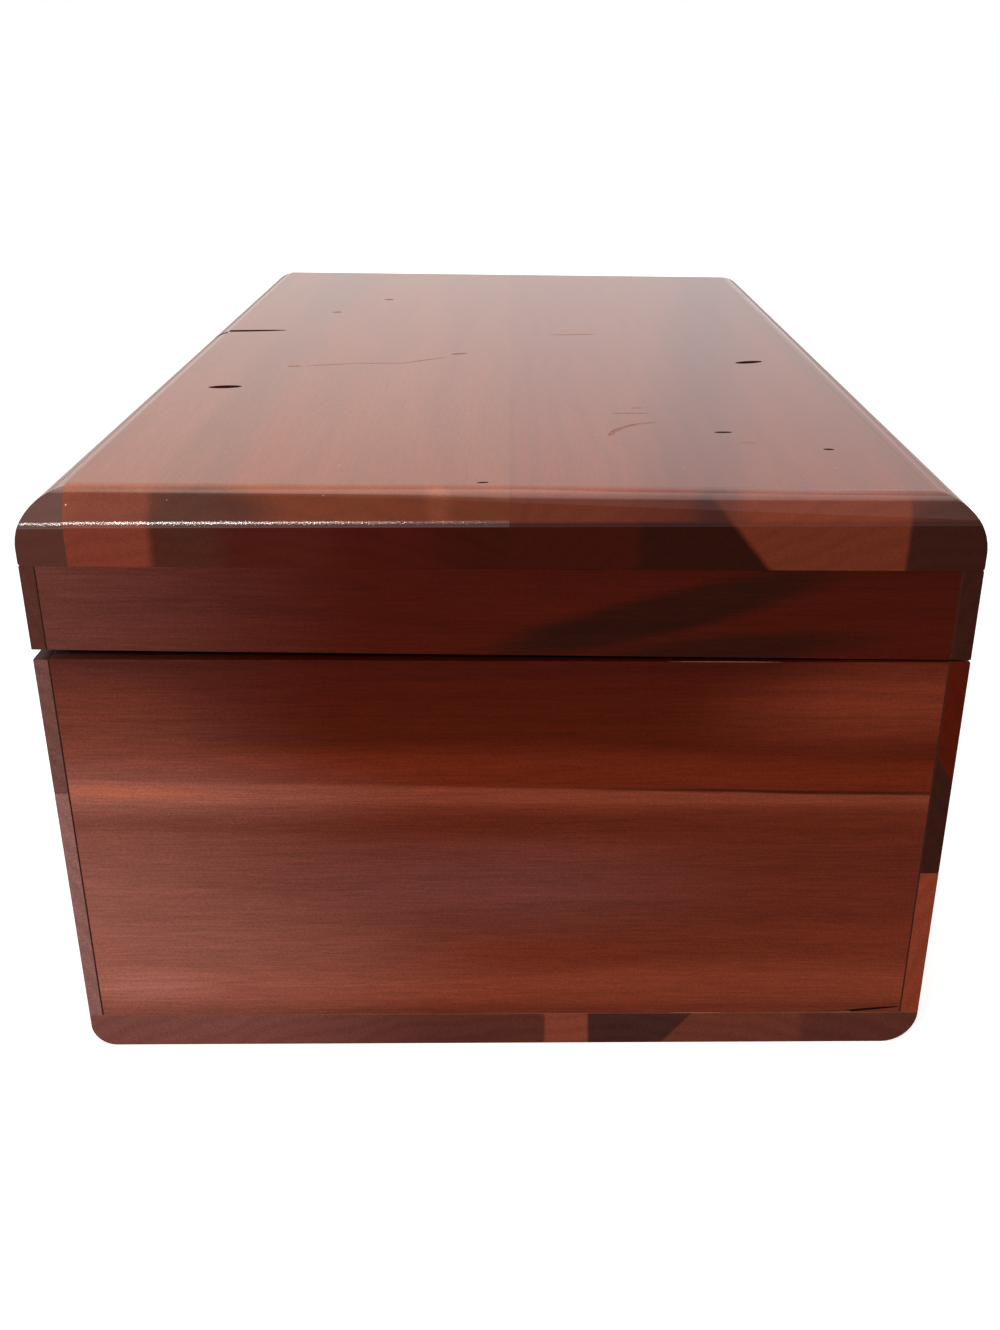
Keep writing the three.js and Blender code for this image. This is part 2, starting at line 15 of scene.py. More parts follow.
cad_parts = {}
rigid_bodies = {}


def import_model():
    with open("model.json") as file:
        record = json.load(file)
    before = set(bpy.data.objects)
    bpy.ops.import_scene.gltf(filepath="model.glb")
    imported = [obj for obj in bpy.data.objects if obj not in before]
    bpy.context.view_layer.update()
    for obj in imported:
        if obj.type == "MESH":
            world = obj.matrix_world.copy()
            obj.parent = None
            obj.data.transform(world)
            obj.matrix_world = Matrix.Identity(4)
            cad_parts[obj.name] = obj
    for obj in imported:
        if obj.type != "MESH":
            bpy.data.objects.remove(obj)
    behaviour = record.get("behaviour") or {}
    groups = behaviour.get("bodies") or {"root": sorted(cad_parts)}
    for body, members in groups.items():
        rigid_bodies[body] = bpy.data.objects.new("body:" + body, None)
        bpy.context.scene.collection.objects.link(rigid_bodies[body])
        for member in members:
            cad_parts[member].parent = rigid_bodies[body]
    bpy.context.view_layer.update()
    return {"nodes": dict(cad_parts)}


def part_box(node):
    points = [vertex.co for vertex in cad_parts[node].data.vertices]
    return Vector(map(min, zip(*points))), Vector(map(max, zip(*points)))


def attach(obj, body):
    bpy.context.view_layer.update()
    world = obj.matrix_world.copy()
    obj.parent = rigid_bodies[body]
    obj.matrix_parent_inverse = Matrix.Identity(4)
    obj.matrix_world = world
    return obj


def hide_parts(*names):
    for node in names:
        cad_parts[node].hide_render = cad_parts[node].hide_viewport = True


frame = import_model()

LOG = logging.getLogger("hope_chest")
MM = 0.001
# How far a cutter runs past the wood, how near to a face an edge counts as lying on it, and how
# long an edge is at least that goes through a sheet
OVERRUN = 4 * MM
NEAR = 0.1 * MM
THROUGH = 0.4 * MM
# Points closer than the first are one, and points closer than the second to a saw lie on its plane
WELD = 0.002 * MM
ON_PLANE = 1e-7

Piece = bpy.types.Object
Material = bpy.types.Material
Socket = bpy.types.NodeSocket
Pair = tuple[float, float]
Triple = tuple[float, float, float]
Colour = tuple[float, float, float, float]
EdgeTest = Callable[[Vector, Vector], bool]
FaceTest = Callable[[Vector, Vector], int]


# Bench work: the moves that shape every piece

class Cut(Enum):
    """What a cutter does to the piece that it meets."""

    AWAY = "DIFFERENCE"
    JOIN = "UNION"


class Turn(Enum):
    """The turn that brings a piece made upright to lie along an axis."""

    ALONG_X = (0.0, math.pi / 2, 0.0)
    TOWARDS_FRONT = (math.pi / 2, 0.0, 0.0)
    TOWARDS_BACK = (-math.pi / 2, 0.0, 0.0)
    UP = (0.0, 0.0, 0.0)
    DOWN = (math.pi, 0.0, 0.0)


def deselect() -> None:
    """Leaves nothing selected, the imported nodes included."""
    for piece in bpy.context.view_layer.objects:
        piece.select_set(False)


def take(piece: Piece) -> None:
    """Makes a piece the one selected and active object."""
    deselect()
    piece.select_set(True)
    bpy.context.view_layer.objects.active = piece


@contextmanager
def edit(piece: Piece) -> Iterator[None]:
    """Opens the whole mesh of a piece for editing, and closes it afterwards."""
    take(piece)
    bpy.ops.object.mode_set(mode="EDIT")
    bpy.ops.mesh.select_all(action="SELECT")
    yield
    bpy.ops.object.mode_set(mode="OBJECT")


def settle(piece: Piece) -> Piece:
    """Puts a piece's place, turn and scale into its mesh.

    Args:
        piece: the object to settle.

    Returns:
        The same object, at the origin.
    """
    take(piece)
    bpy.ops.object.transform_apply(location=True, rotation=True, scale=True)
    return piece


def name_new(name: str) -> Piece:
    """Names the primitive that was just added, and settles it.

    Args:
        name: the piece's name.

    Returns:
        The new object.
    """
    piece = bpy.context.object
    piece.name = name
    piece.data.name = name
    return settle(piece)


def block(name: str, low: Sequence[float], high: Sequence[float]) -> Piece:
    """Adds a squared block between two corners.

    Args:
        name: the piece's name.
        low: its lowest corner, in metres.
        high: its highest corner, in metres.

    Returns:
        The new object.
    """
    deselect()
    middle = [(a + b) / 2 for a, b in zip(low, high)]
    size = [b - a for a, b in zip(low, high)]
    bpy.ops.mesh.primitive_cube_add(size=1, location=middle, scale=size)
    return name_new(name)


def bar(name: str, low: Sequence[float], high: Sequence[float]) -> Piece:
    """Adds a squared block between two corners given in mm."""
    return block(name, Vector(low) * MM, Vector(high) * MM)


def pebble(name: str, centre: Sequence[float], size: Sequence[float], turn: float = 0.0,
           tip: float = 0.0) -> Piece:
    """Adds a pebble, the cutter for a dent.

    Args:
        name: the piece's name.
        centre: its middle, in metres.
        size: its half sizes before it is turned, in metres.
        turn: its turn about Z, in degrees.
        tip: its turn about X before that, in degrees.

    Returns:
        The new object.
    """
    deselect()
    rotation = (math.radians(tip), 0.0, math.radians(turn))
    bpy.ops.mesh.primitive_uv_sphere_add(segments=16, ring_count=9, radius=1, location=centre,
                                         scale=size, rotation=rotation)
    return name_new(name)


def turned(name: str, profile: Sequence[Pair], place: Sequence[float], turn: Turn,
           sides: int = 32) -> Piece:
    """Turns a round piece, as on a lathe, from one end to the other.

    Args:
        name: the piece's name.
        profile: radius and height of each step, from low to high, in mm.
        place: where height 0 on its axis goes, in mm.
        turn: how the finished piece lies.
        sides: how many sides it has.

    Returns:
        The new object.
    """
    deselect()
    steps = [(step_radius * MM, step_height * MM) for step_radius, step_height in profile]
    radius, height = steps[0]
    bpy.ops.mesh.primitive_circle_add(vertices=sides, radius=radius, fill_type="NGON",
                                      location=(0, 0, height))
    piece = name_new(name)
    with edit(piece):
        for next_radius, next_height in steps[1:]:
            bpy.ops.mesh.extrude_region_move(
                TRANSFORM_OT_translate={"value": (0, 0, next_height - height)})
            share = next_radius / radius
            bpy.ops.transform.resize(value=(share, share, 1), center_override=(0, 0, next_height))
            radius, height = next_radius, next_height
    close_up(piece)
    piece.rotation_euler = turn.value
    piece.location = Vector(place) * MM
    return settle(piece)


def close_up(piece: Piece) -> None:
    """Merges doubled points and turns every face outwards."""
    with edit(piece):
        bpy.ops.mesh.remove_doubles(threshold=WELD)
        bpy.ops.mesh.normals_make_consistent(inside=False)


def apply_modifier(piece: Piece, kind: str, **settings: object) -> None:
    """Adds a modifier and applies it at once.

    Args:
        piece: the object that gets it.
        kind: Blender's name for the modifier.
        settings: its settings.
    """
    take(piece)
    modifier = piece.modifiers.new(kind.title(), kind)
    for key, value in settings.items():
        setattr(modifier, key, value)
    bpy.ops.object.modifier_apply(modifier=modifier.name)


def work(piece: Piece, *cutters: Piece, cut: Cut = Cut.AWAY) -> None:
    """Cuts a piece with each cutter, or joins them to it, and clears the cutters away.

    Args:
        piece: the object that stays.
        cutters: the objects that are used up.
        cut: what each cutter does.
    """
    for cutter in cutters:
        apply_modifier(piece, "BOOLEAN", object=cutter, operation=cut.value, solver="EXACT",
                       material_mode="TRANSFER")
        bpy.data.objects.remove(cutter)


def twin(piece: Piece, name: str, shift: Sequence[float]) -> Piece:
    """Copies a piece with a mesh of its own, and sets the copy aside.

    Args:
        piece: the object to copy.
        name: the copy's name.
        shift: how far the copy moves, in metres.

    Returns:
        The copy.
    """
    other = piece.copy()
    other.data = piece.data.copy()
    other.name = name
    other.data.name = name
    bpy.context.scene.collection.objects.link(other)
    other.location = shift
    return settle(other)


def round_edges(piece: Piece, test: EdgeTest, radius: float, steps: int,
                profile: float = 0.5) -> None:
    """Rounds the edges of a piece that pass a test.

    Args:
        piece: the object to shape.
        test: says of an edge's two ends whether it is rounded.
        radius: how far the rounding reaches, in metres.
        steps: how many faces make it.
        profile: its fullness, 0.5 for round.
    """
    with edit(piece):
        bpy.ops.mesh.select_mode(type="EDGE")
        bpy.ops.mesh.select_all(action="DESELECT")
    points = piece.data.vertices
    for edge in piece.data.edges:
        edge.select = test(*(points[index].co for index in edge.vertices))
    bpy.ops.object.mode_set(mode="EDIT")
    bpy.ops.mesh.bevel(offset=radius, segments=steps, profile=profile, affect="EDGES",
                       clamp_overlap=False)
    bpy.ops.object.mode_set(mode="OBJECT")


def saw(piece: Piece, point: Sequence[float], outwards: Sequence[float]) -> None:
    """Saws off what lies beyond a plane, and closes the cut.

    Args:
        piece: the object to saw.
        point: a point on the plane, in metres.
        outwards: the direction of the part that falls away.
    """
    with edit(piece):
        bpy.ops.mesh.bisect(plane_co=point, plane_no=Vector(outwards).normalized(), use_fill=True,
                            clear_outer=True, threshold=ON_PLANE)


def plane_round(piece: Piece, centre: Sequence[float], radii: Pair, start: Vector, end: Vector,
                angles: Pair, steps: int) -> None:
    """Planes a long edge round, one thin facet after another.

    Args:
        piece: the object to shape.
        centre: a point on the axis of the rounding, in metres.
        radii: its radius towards start and towards end, in metres.
        start: the outward direction where the rounding starts.
        end: the outward direction where it ends.
        angles: from and to which angle between the two it runs, in degrees.
        steps: how many facets it gets.
    """
    along, up = radii
    for step in range(steps):
        angle = math.radians(angles[0] + (angles[1] - angles[0]) * (step + 0.5) / steps)
        touch = Vector(centre) + start * along * math.cos(angle) + end * up * math.sin(angle)
        outwards = start * math.cos(angle) / along + end * math.sin(angle) / up
        saw(piece, touch, outwards)


def ease(piece: Piece, width: float, steps: int = 2, angle: float = 40.0) -> None:
    """Takes the sharpness off every arris.

    Args:
        piece: the object to ease.
        width: the width of the eased arris, in metres.
        steps: how many faces make it.
        angle: the least turn, in degrees, that counts as an arris.
    """
    apply_modifier(piece, "BEVEL", width=width, segments=steps, limit_method="ANGLE",
                   angle_limit=math.radians(angle), use_clamp_overlap=False)


def smooth(piece: Piece, angle: float = 32.0) -> None:
    """Shades round faces smooth and leaves flat ones flat.

    Args:
        piece: the object to shade.
        angle: the least turn, in degrees, that stays a sharp edge.
    """
    take(piece)
    bpy.ops.object.shade_smooth_by_angle(angle=math.radians(angle))
    apply_modifier(piece, "WEIGHTED_NORMAL", mode="FACE_AREA", keep_sharp=True)


def dress(piece: Piece, finishes: Sequence[Material], choose: FaceTest | None = None) -> None:
    """Gives a piece its finishes, face by face.

    Args:
        piece: the object to dress.
        finishes: the finishes, the plain one first.
        choose: gives a face's finish by number, from its middle and its normal.
    """
    slots = piece.data.materials
    slots.clear()
    for finish in finishes:
        slots.append(finish)
    if choose:
        for face in piece.data.polygons:
            face.material_index = choose(face.center, face.normal)


def carve(board: Piece, cutters: Iterable[Piece], finish: Material) -> None:
    """Cuts a dressed board with each cutter.

    Args:
        board: the board that stays.
        cutters: the objects that are used up.
        finish: the finish of the faces that they leave.
    """
    for cutter in cutters:
        dress(cutter, [finish])
        work(board, cutter)


def fit(piece: Piece, body: str, slot: str, nodes: Iterable[str]) -> None:
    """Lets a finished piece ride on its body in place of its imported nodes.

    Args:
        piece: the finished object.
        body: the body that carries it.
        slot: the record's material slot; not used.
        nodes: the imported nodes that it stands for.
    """
    smooth(piece)
    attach(piece, body)
    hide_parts(*nodes)
    LOG.info("%s: %d faces on %s", piece.name, len(piece.data.polygons), body)


# Colours and nodes

# The two colours and the output of a Mix node go by number, since several sockets share a name
BELOW, ABOVE = 6, 7
COLOURS = {"out": 2, "data_type": "RGBA"}
SOFT = {"interpolation_type": "SMOOTHSTEP"}
WHITE = (1.0, 1.0, 1.0, 1.0)


def colour(code: str) -> Colour:
    """Turns an sRGB hex colour into the linear colour that a shader reads.

    Args:
        code: six hex digits.

    Returns:
        Red, green, blue and full opacity.
    """
    shares = [int(code[start:start + 2], 16) / 255 for start in (0, 2, 4)]
    linear = [s / 12.92 if s <= 0.04045 else ((s + 0.055) / 1.055) ** 2.4 for s in shares]
    return (*linear, 1.0)


def add_node(tree: bpy.types.NodeTree, kind: str, inputs: dict | None = None,
             out: int | str = 0, **settings: object) -> Socket | None:
    """Adds a node, sets it, and fills or links its inputs.

    Args:
        tree: the node tree.
        kind: Blender's name for the node, without ShaderNode in front.
        inputs: values or sockets, by the input's name or number.
        out: the name or number of the output that is wanted.
        settings: the node's own settings.

    Returns:
        That output, or None for a node that has none.
    """
    node = tree.nodes.new("ShaderNode" + kind)
    for key, value in settings.items():
        setattr(node, key, value)
    for key, value in (inputs or {}).items():
        if isinstance(value, Socket):
            tree.links.new(value, node.inputs[key])
        else:
            node.inputs[key].default_value = value
    return node.outputs[out] if node.outputs else None


def new_material(name: str) -> tuple[Material, Callable[..., Socket]]:
    """Makes an empty node material.

    Args:
        name: the material's name.

    Returns:
        The material, and add_node for its tree.
    """
    material = bpy.data.materials.new(name)
    material.use_nodes = True
    material.node_tree.nodes.clear()
    return material, partial(add_node, material.node_tree)


# Cedar

class Lay(Enum):
    """How a board lies: the axes along its grain, across its face and through it."""

    FLAT = (0, 1, 2)
    LONG_WALL = (0, 2, 1)
    END_WALL = (1, 2, 0)


class Tone(Enum):
    """Colours of eastern red cedar under old lacquer, as sRGB."""

    BLACK_HEART = "250a04"
    DARK_HEART = "2f0d05"
    HEART = "390d04"
    RED_HEART = "400f04"
    RED = "431204"
    WARM = "5a1e0c"
    LOWEST = "622a1c"
    STRIPE = "6e3222"
    STRIPE_LIGHT = "b8603c"
    BAND = "733321"
    BROWN = "622818"
    DULL_RED = "592215"
    PLUM = "683c37"
    # a rose tone, laid on the left of the right end: the wood's own with painted light and haze from
    # the left
    ROSE = "a86f65"
    RIM = "3d0e04"
    # the front lips' end grain, paler and pinker by a painted reflection of the pale room
    LIP_ROSE = "7d5752"
    LIP_DARK = "62403b"
    LIP_RED = "793421"
    LIP_DEEP = "471003"
    PATCH = "682f23"
    PATCH_WARM = "5c2718"
    PATCH_BROWN = "401d14"
    END_HEART = "3f140b"
    END_DARK = "300a03"
    END_RED = "320b04"
    SMOKE = "30140d"
    END_BROWN = "4a2922"
    TOP_LIGHT = "925032"
    TOP_BROWN = "8a4b2d"
    TOP_WARM = "914925"
    TOP_RED = "8b421f"
    TOP_DIM = "84391c"
    TOP_GREEN = "752f12"
    TOP_SHADE = "6e2812"
    TOP_DULL = "7d3114"
    BOTTOM_ROSE = "6f423b"
    BOTTOM_BROWN = "522921"
    BOTTOM_RED = "763a2b"
    BOTTOM_DARK = "3c211d"
    BOTTOM_WARM = "603024"
    ROLL_GREY = "4a3029"
    # dust on the roll's front corner, with a painted sheen
    ROLL_DUST_AND_SHEEN = "685652"
    ROLL_DARK = "371710"
    ROLL_RUST = "b4623c"
    SAP = "7c4428"
    RAW = "c08a62"
    DUST = "cbb3a6"


@dataclass(frozen=True)
class Stripe:
    """Where the next stripe of wood starts across a board, in mm.

    lean is how far the line shifts for each mm through the board, drift for each mm along it,
    and soft how wide it fades.
    """

    place: float
    tone: Tone
    soft: float = 0.8
    lean: float = 0.0
    drift: float = 0.0


@dataclass(frozen=True)
class Blot:
    """A cloud of another tone: its middle, its half sizes in mm and its tilt in degrees.

    strength is the share of its tone in the middle, core the part of it that is that strong.
    """

    along: float
    across: float
    reach: float
    height: float
    tone: Tone
    tilt: float = 0.0
    strength: float = 0.9
    core: float = 0.35


@dataclass(frozen=True)
class Figure:
    """What the wood of one board looks like all the way through, in mm.

    pith is the trunk's middle across and through the board, sway how far the grain wanders,
    end_shade the factor for end grain without tones of its own, and fibre the fibres' contrast.
    """

    lay: Lay
    first: Tone
    stripes: tuple[Stripe, ...] = ()
    blots: tuple[Blot, ...] = ()
    end_first: Tone | None = None
    end_stripes: tuple[Stripe, ...] = ()
    pith: Pair = (-60.0, 35.0)
    ring_pitch: float = 2.6
    ring_strength: float = 0.1
    sway: float = 1.0
    end_shade: float = 0.6
    fibre: float = 1.0
    seed: float = 0.0


@dataclass(frozen=True)
class Coat:
    """How the face of the wood was left.

    bleach is the share of the pale tone of bare wood, dust how thick dust specks lie on it.
    """

    name: str
    roughness: float
    ior: float
    bleach: float
    dust: float
    grain_depth: float


# Old thin lacquer, rubbed dull and handled: dark head-on, without much gloss
LACQUERED = Coat("lacquered", roughness=0.26, ior=1.09, bleach=0.0, dust=0.75,
                 grain_depth=0.012 * MM)
# The same lacquer laid thick and waxed on the top: at a low angle it mirrors the pale room
WAXED = Coat("waxed", roughness=0.17, ior=1.21, bleach=0.0, dust=0.8, grain_depth=0.005 * MM)
# And where the top turns over to its ends, polished by handling, so that the mirror fades slowly
HANDLED = Coat("handled", roughness=0.2, ior=1.37, bleach=0.0, dust=0.8, grain_depth=0.01 * MM)
# And on the slope below, where hands have rubbed it thin
RUBBED = Coat("rubbed", roughness=0.2, ior=1.24, bleach=0.0, dust=0.8, grain_depth=0.01 * MM)
# And on their sharp lower arris, polished bright by the same hands
POLISHED = Coat("polished", roughness=0.15, ior=1.46, bleach=0.0, dust=0.8, grain_depth=0.03 * MM)
# Bare planed cedar, as inside the chest: dry, paler and without gloss
BARE = Coat("bare", roughness=0.78, ior=1.3, bleach=0.4, dust=0.0, grain_depth=0.03 * MM)


# How far apart the noise of two boards with neighbouring seeds is taken, in clouds
SEED_STEPS = (3.1, 7.7, 1.3)


class Cedar:
    """Makes one finish of a board: its figure in three dimensions under a coat."""

    def __init__(self, node: str, coat: Coat) -> None:
        """Starts the material with each point's place in the wood.

        Args:
            node: the board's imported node, which names its figure.
            coat: how the face was left.
        """
        self.figure = FIGURES[node]
        self.coat = coat
        self.material, self.add = new_material(f"{coat.name}_cedar_{node}")
        place = self.add("TexCoord", out="Object")
        self.millimetres = self.add("VectorMath", {0: place, "Scale": 1 / MM}, operation="SCALE")
        parts = self.add("SeparateXYZ", {0: self.millimetres}).node.outputs
        along, across, through = (parts[axis] for axis in self.figure.lay.value)
        self.fibre = self.add("CombineXYZ", {0: along, 1: across, 2: through})
        # the same place before the grain wandered a little to the side
        sway = self.figure.sway
        aside = self.add("MapRange", {"Value": self._noise(70.0, 22.0, 3.0), "From Min": 0.25,
                                      "From Max": 0.75, "To Min": -sway, "To Max": sway},
                         clamp=False)
        moved = self.add("Math", {0: across, 1: aside}, operation="ADD")
        self.bent = self.add("CombineXYZ", {0: along, 1: moved, 2: through})

    def finish(self) -> Material:
        """Lays figure, end grain, growth rings, coat and dust over one another.

        Returns:
            The material.
        """
        wood = self._tones(self.figure.first, self.figure.stripes)
        end = self._end_tones(wood)
        wood = self._blots(wood)
        # a flat board gets painted shade on its sides and painted sheen on its turn to the ends
        if self.figure.lay is Lay.FLAT:
            wood = self._paint_side_shade_and_turn_sheen(wood)
        wood = self.add("Mix", {0: self._end_share(), BELOW: wood, ABOVE: end}, **COLOURS)
        shade, relief = self._grain()
        wood = self.add("VectorMath", {0: wood, "Scale": shade}, operation="SCALE")
        if self.coat.bleach:
            raw = colour(Tone.RAW.value)
            wood = self.add("Mix", {0: self.coat.bleach, BELOW: wood, ABOVE: raw}, **COLOURS)
        if self.coat.dust:
            wood = self._dust(wood)
        normal = self.add("Bump", {"Strength": 1.0, "Distance": self.coat.grain_depth,
                                   "Height": relief})
        shader = self.add("BsdfPrincipled", {"Base Color": wood, "Roughness": self.coat.roughness,
                                             "IOR": self.coat.ior, "Normal": normal})
        self.add("OutputMaterial", {"Surface": shader})
        return self.material

    def _noise(self, along: float, across: float, detail: float = 2.0) -> Socket:
        """Draws noise that is stretched along the grain.

        Args:
            along: how long a cloud is, in mm.
            across: how wide it is, in mm.
            detail: how many finer layers it has.

        Returns:
            A value round 0.5.
        """
        offset = [self.figure.seed * step for step in SEED_STEPS]
        vector = self.add("Mapping", {"Vector": self.fibre, "Location": offset,
                                      "Scale": (1 / along, 1 / across, 1 / across)})
        return self.add("TexNoise", {"Vector": vector, "Scale": 1.0, "Detail": detail})

    def _tones(self, first: Tone, stripes: Sequence[Stripe]) -> Socket:
        """Lays one stripe of wood after another across the board.

        Args:
            first: the tone before the first stripe.
            stripes: where each next stripe starts.

        Returns:
            The colour of the wood.
        """
        wood = self.add("RGB")
        wood.default_value = colour(first.value)
        for stripe in stripes:
            aim = (-stripe.drift, 1.0, -stripe.lean)
            reach = self.add("VectorMath", {0: self.bent, 1: aim}, out="Value",
                             operation="DOT_PRODUCT")
            share = self.add("MapRange", {"Value": reach, "From Min": stripe.place - stripe.soft / 2,
                                          "From Max": stripe.place + stripe.soft / 2}, **SOFT)
            wood = self.add("Mix", {0: share, BELOW: wood, ABOVE: colour(stripe.tone.value)},
                            **COLOURS)
        return wood

    def _end_tones(self, wood: Socket) -> Socket:
        """Gives the colour of the end grain, which drinks more lacquer and goes darker."""
        if self.figure.end_first:
            return self._tones(self.figure.end_first, self.figure.end_stripes)
        return self.add("VectorMath", {0: wood, "Scale": self.figure.end_shade},
                        operation="SCALE")

    def _facing(self, axis: int) -> Socket:
        """Says how squarely a face looks along an axis, from 0 to 1."""
        normal = self.add("TexCoord", out="Normal")
        aside = self.add("SeparateXYZ", {0: normal}, out=axis)
        return self.add("Math", {0: aside}, operation="ABSOLUTE")

    def _end_share(self) -> Socket:
        """Says how far a face is end grain: some on a slanted face, all on a square one."""
        facing = self._facing(self.figure.lay.value[0])
        slanted = self.add("MapRange", {"Value": facing, "From Min": 0.05, "From Max": 0.8,
                                        "To Max": 0.7}, **SOFT)
        square = self.add("MapRange", {"Value": facing, "From Min": 0.91, "From Max": 0.985,
                                       "To Max": 0.3}, **SOFT)
        return self.add("Math", {0: slanted, 1: square}, operation="ADD")

    def _paint_side_shade_and_turn_sheen(self, wood: Socket) -> Socket:
        """Paints shade on the sides of a flat board, and sheen with wear where it turns to its ends.

        Args:
            wood: the colour of its face.

        Returns:
            The colour, darker at its sides and paler where its ends fall: painted shade and sheen.
        """
        # painted shade: the sides go darker the more they face the front or the back
        shade = self.add("MapRange", {"Value": self._facing(1), "From Min": 0.24, "From Max": 0.8,
                                      "To Max": 0.8}, **SOFT)
        wood = self.add("Mix", {0: shade, BELOW: wood, ABOVE: colour(Tone.HEART.value)}, **COLOURS)
        # painted sheen with wear: 1 on the flat, 1.2 half way over and 1 again where it is steep
        over = self._facing(0)
        rest = self.add("Math", {0: 0.9, 1: over}, operation="SUBTRACT")
        turn_sheen = self.add("Math", {0: rest, 1: over, 2: 1.0}, operation="MULTIPLY_ADD")
        return self.add("VectorMath", {0: wood, "Scale": turn_sheen}, operation="SCALE")

    def _blots(self, wood: Socket) -> Socket:
        """Lays soft clouds of another tone over the wood.

        Args:
            wood: the colour below.

        Returns:
            The colour with its clouds.
        """
        for blot in self.figure.blots:
            centred = self.add("Mapping", {
                "Vector": self.bent, "Location": (blot.along, blot.across, 0.0),
                "Rotation": (0.0, 0.0, math.radians(blot.tilt)),
                "Scale": (blot.reach, blot.height, 1000.0)}, vector_type="TEXTURE")
            off = self.add("VectorMath", {0: centred}, out="Value", operation="LENGTH")
            share = self.add("MapRange", {"Value": off, "From Min": 1.0, "From Max": blot.core,
                                          "To Max": blot.strength}, **SOFT)
            wood = self.add("Mix", {0: share, BELOW: wood, ABOVE: colour(blot.tone.value)},
                            **COLOURS)
        return wood

    def _grain(self) -> tuple[Socket, Socket]:
        """Draws the growth rings and the fibres.

        Returns:
            The factor that darkens the wood, and the height of its fine relief.
        """
        # the rings run round the pith, stretch fifty times along the grain and wander by some mm
        figure = self.figure
        from_pith = self.add("Mapping", {
            "Vector": self.bent, "Location": (0.0, -figure.pith[0], -figure.pith[1]),
            "Scale": (0.02, 1.0, 1.0)})
        radius = self.add("VectorMath", {0: from_pith}, out="Value", operation="LENGTH")
        uneven = self.add("Math", {0: self._noise(90.0, 14.0), 1: 7.0, 2: radius},
                          operation="MULTIPLY_ADD")
        phase = self.add("Math", {0: uneven, 1: math.tau / figure.ring_pitch},
                         operation="MULTIPLY")
        wave = self.add("Math", {0: phase}, operation="SINE")
        late = self.add("MapRange", {"Value": wave, "From Min": -0.4, "From Max": 1.0}, **SOFT)
        shade = self.add("Math", {0: late, 1: -figure.ring_strength, 2: 1.0},
                         operation="MULTIPLY_ADD")
        contrast = 0.16 * figure.fibre
        streaks = self._noise(34.0, 0.7, 3.0)
        hairs = self._noise(5.0, 0.18)
        pores = self._noise(0.35, 0.2, 1.0)
        # each noise, how far round 0.5 it runs, and how much it darkens and pales the wood
        for noise, run, depth in ((streaks, 0.2, contrast * 0.4), (hairs, 0.2, contrast),
                                  (pores, 0.25, contrast * 1.2)):
            finer = self.add("MapRange", {"Value": noise, "From Min": 0.5 - run,
                                          "From Max": 0.5 + run, "To Min": 1 - depth,
                                          "To Max": 1 + depth})
            shade = self.add("Math", {0: shade, 1: finer}, operation="MULTIPLY")
        return shade, hairs

    def _dust(self, wood: Socket) -> Socket:
        """Scatters pale dust specks of a fifth of a millimetre over the coat.

        Args:
            wood: the colour below.

        Returns:
            The colour with its specks.
        """
        cells = self.add("TexVoronoi", {"Vector": self.millimetres, "Scale": 0.3}, out="Distance")
        speck = self.add("MapRange", {"Value": cells, "From Min": 0.042, "From Max": 0.03})
        lot = self.add("SeparateColor", {0: cells.node.outputs["Color"]})
        kept = self.add("MapRange", {"Value": lot, "From Min": 0.55, "From Max": 1.0,
                                     "To Max": self.coat.dust})
        speck = self.add("Math", {0: speck, 1: kept}, operation="MULTIPLY")
        return self.add("Mix", {0: speck, BELOW: wood, ABOVE: colour(Tone.DUST.value)}, **COLOURS)


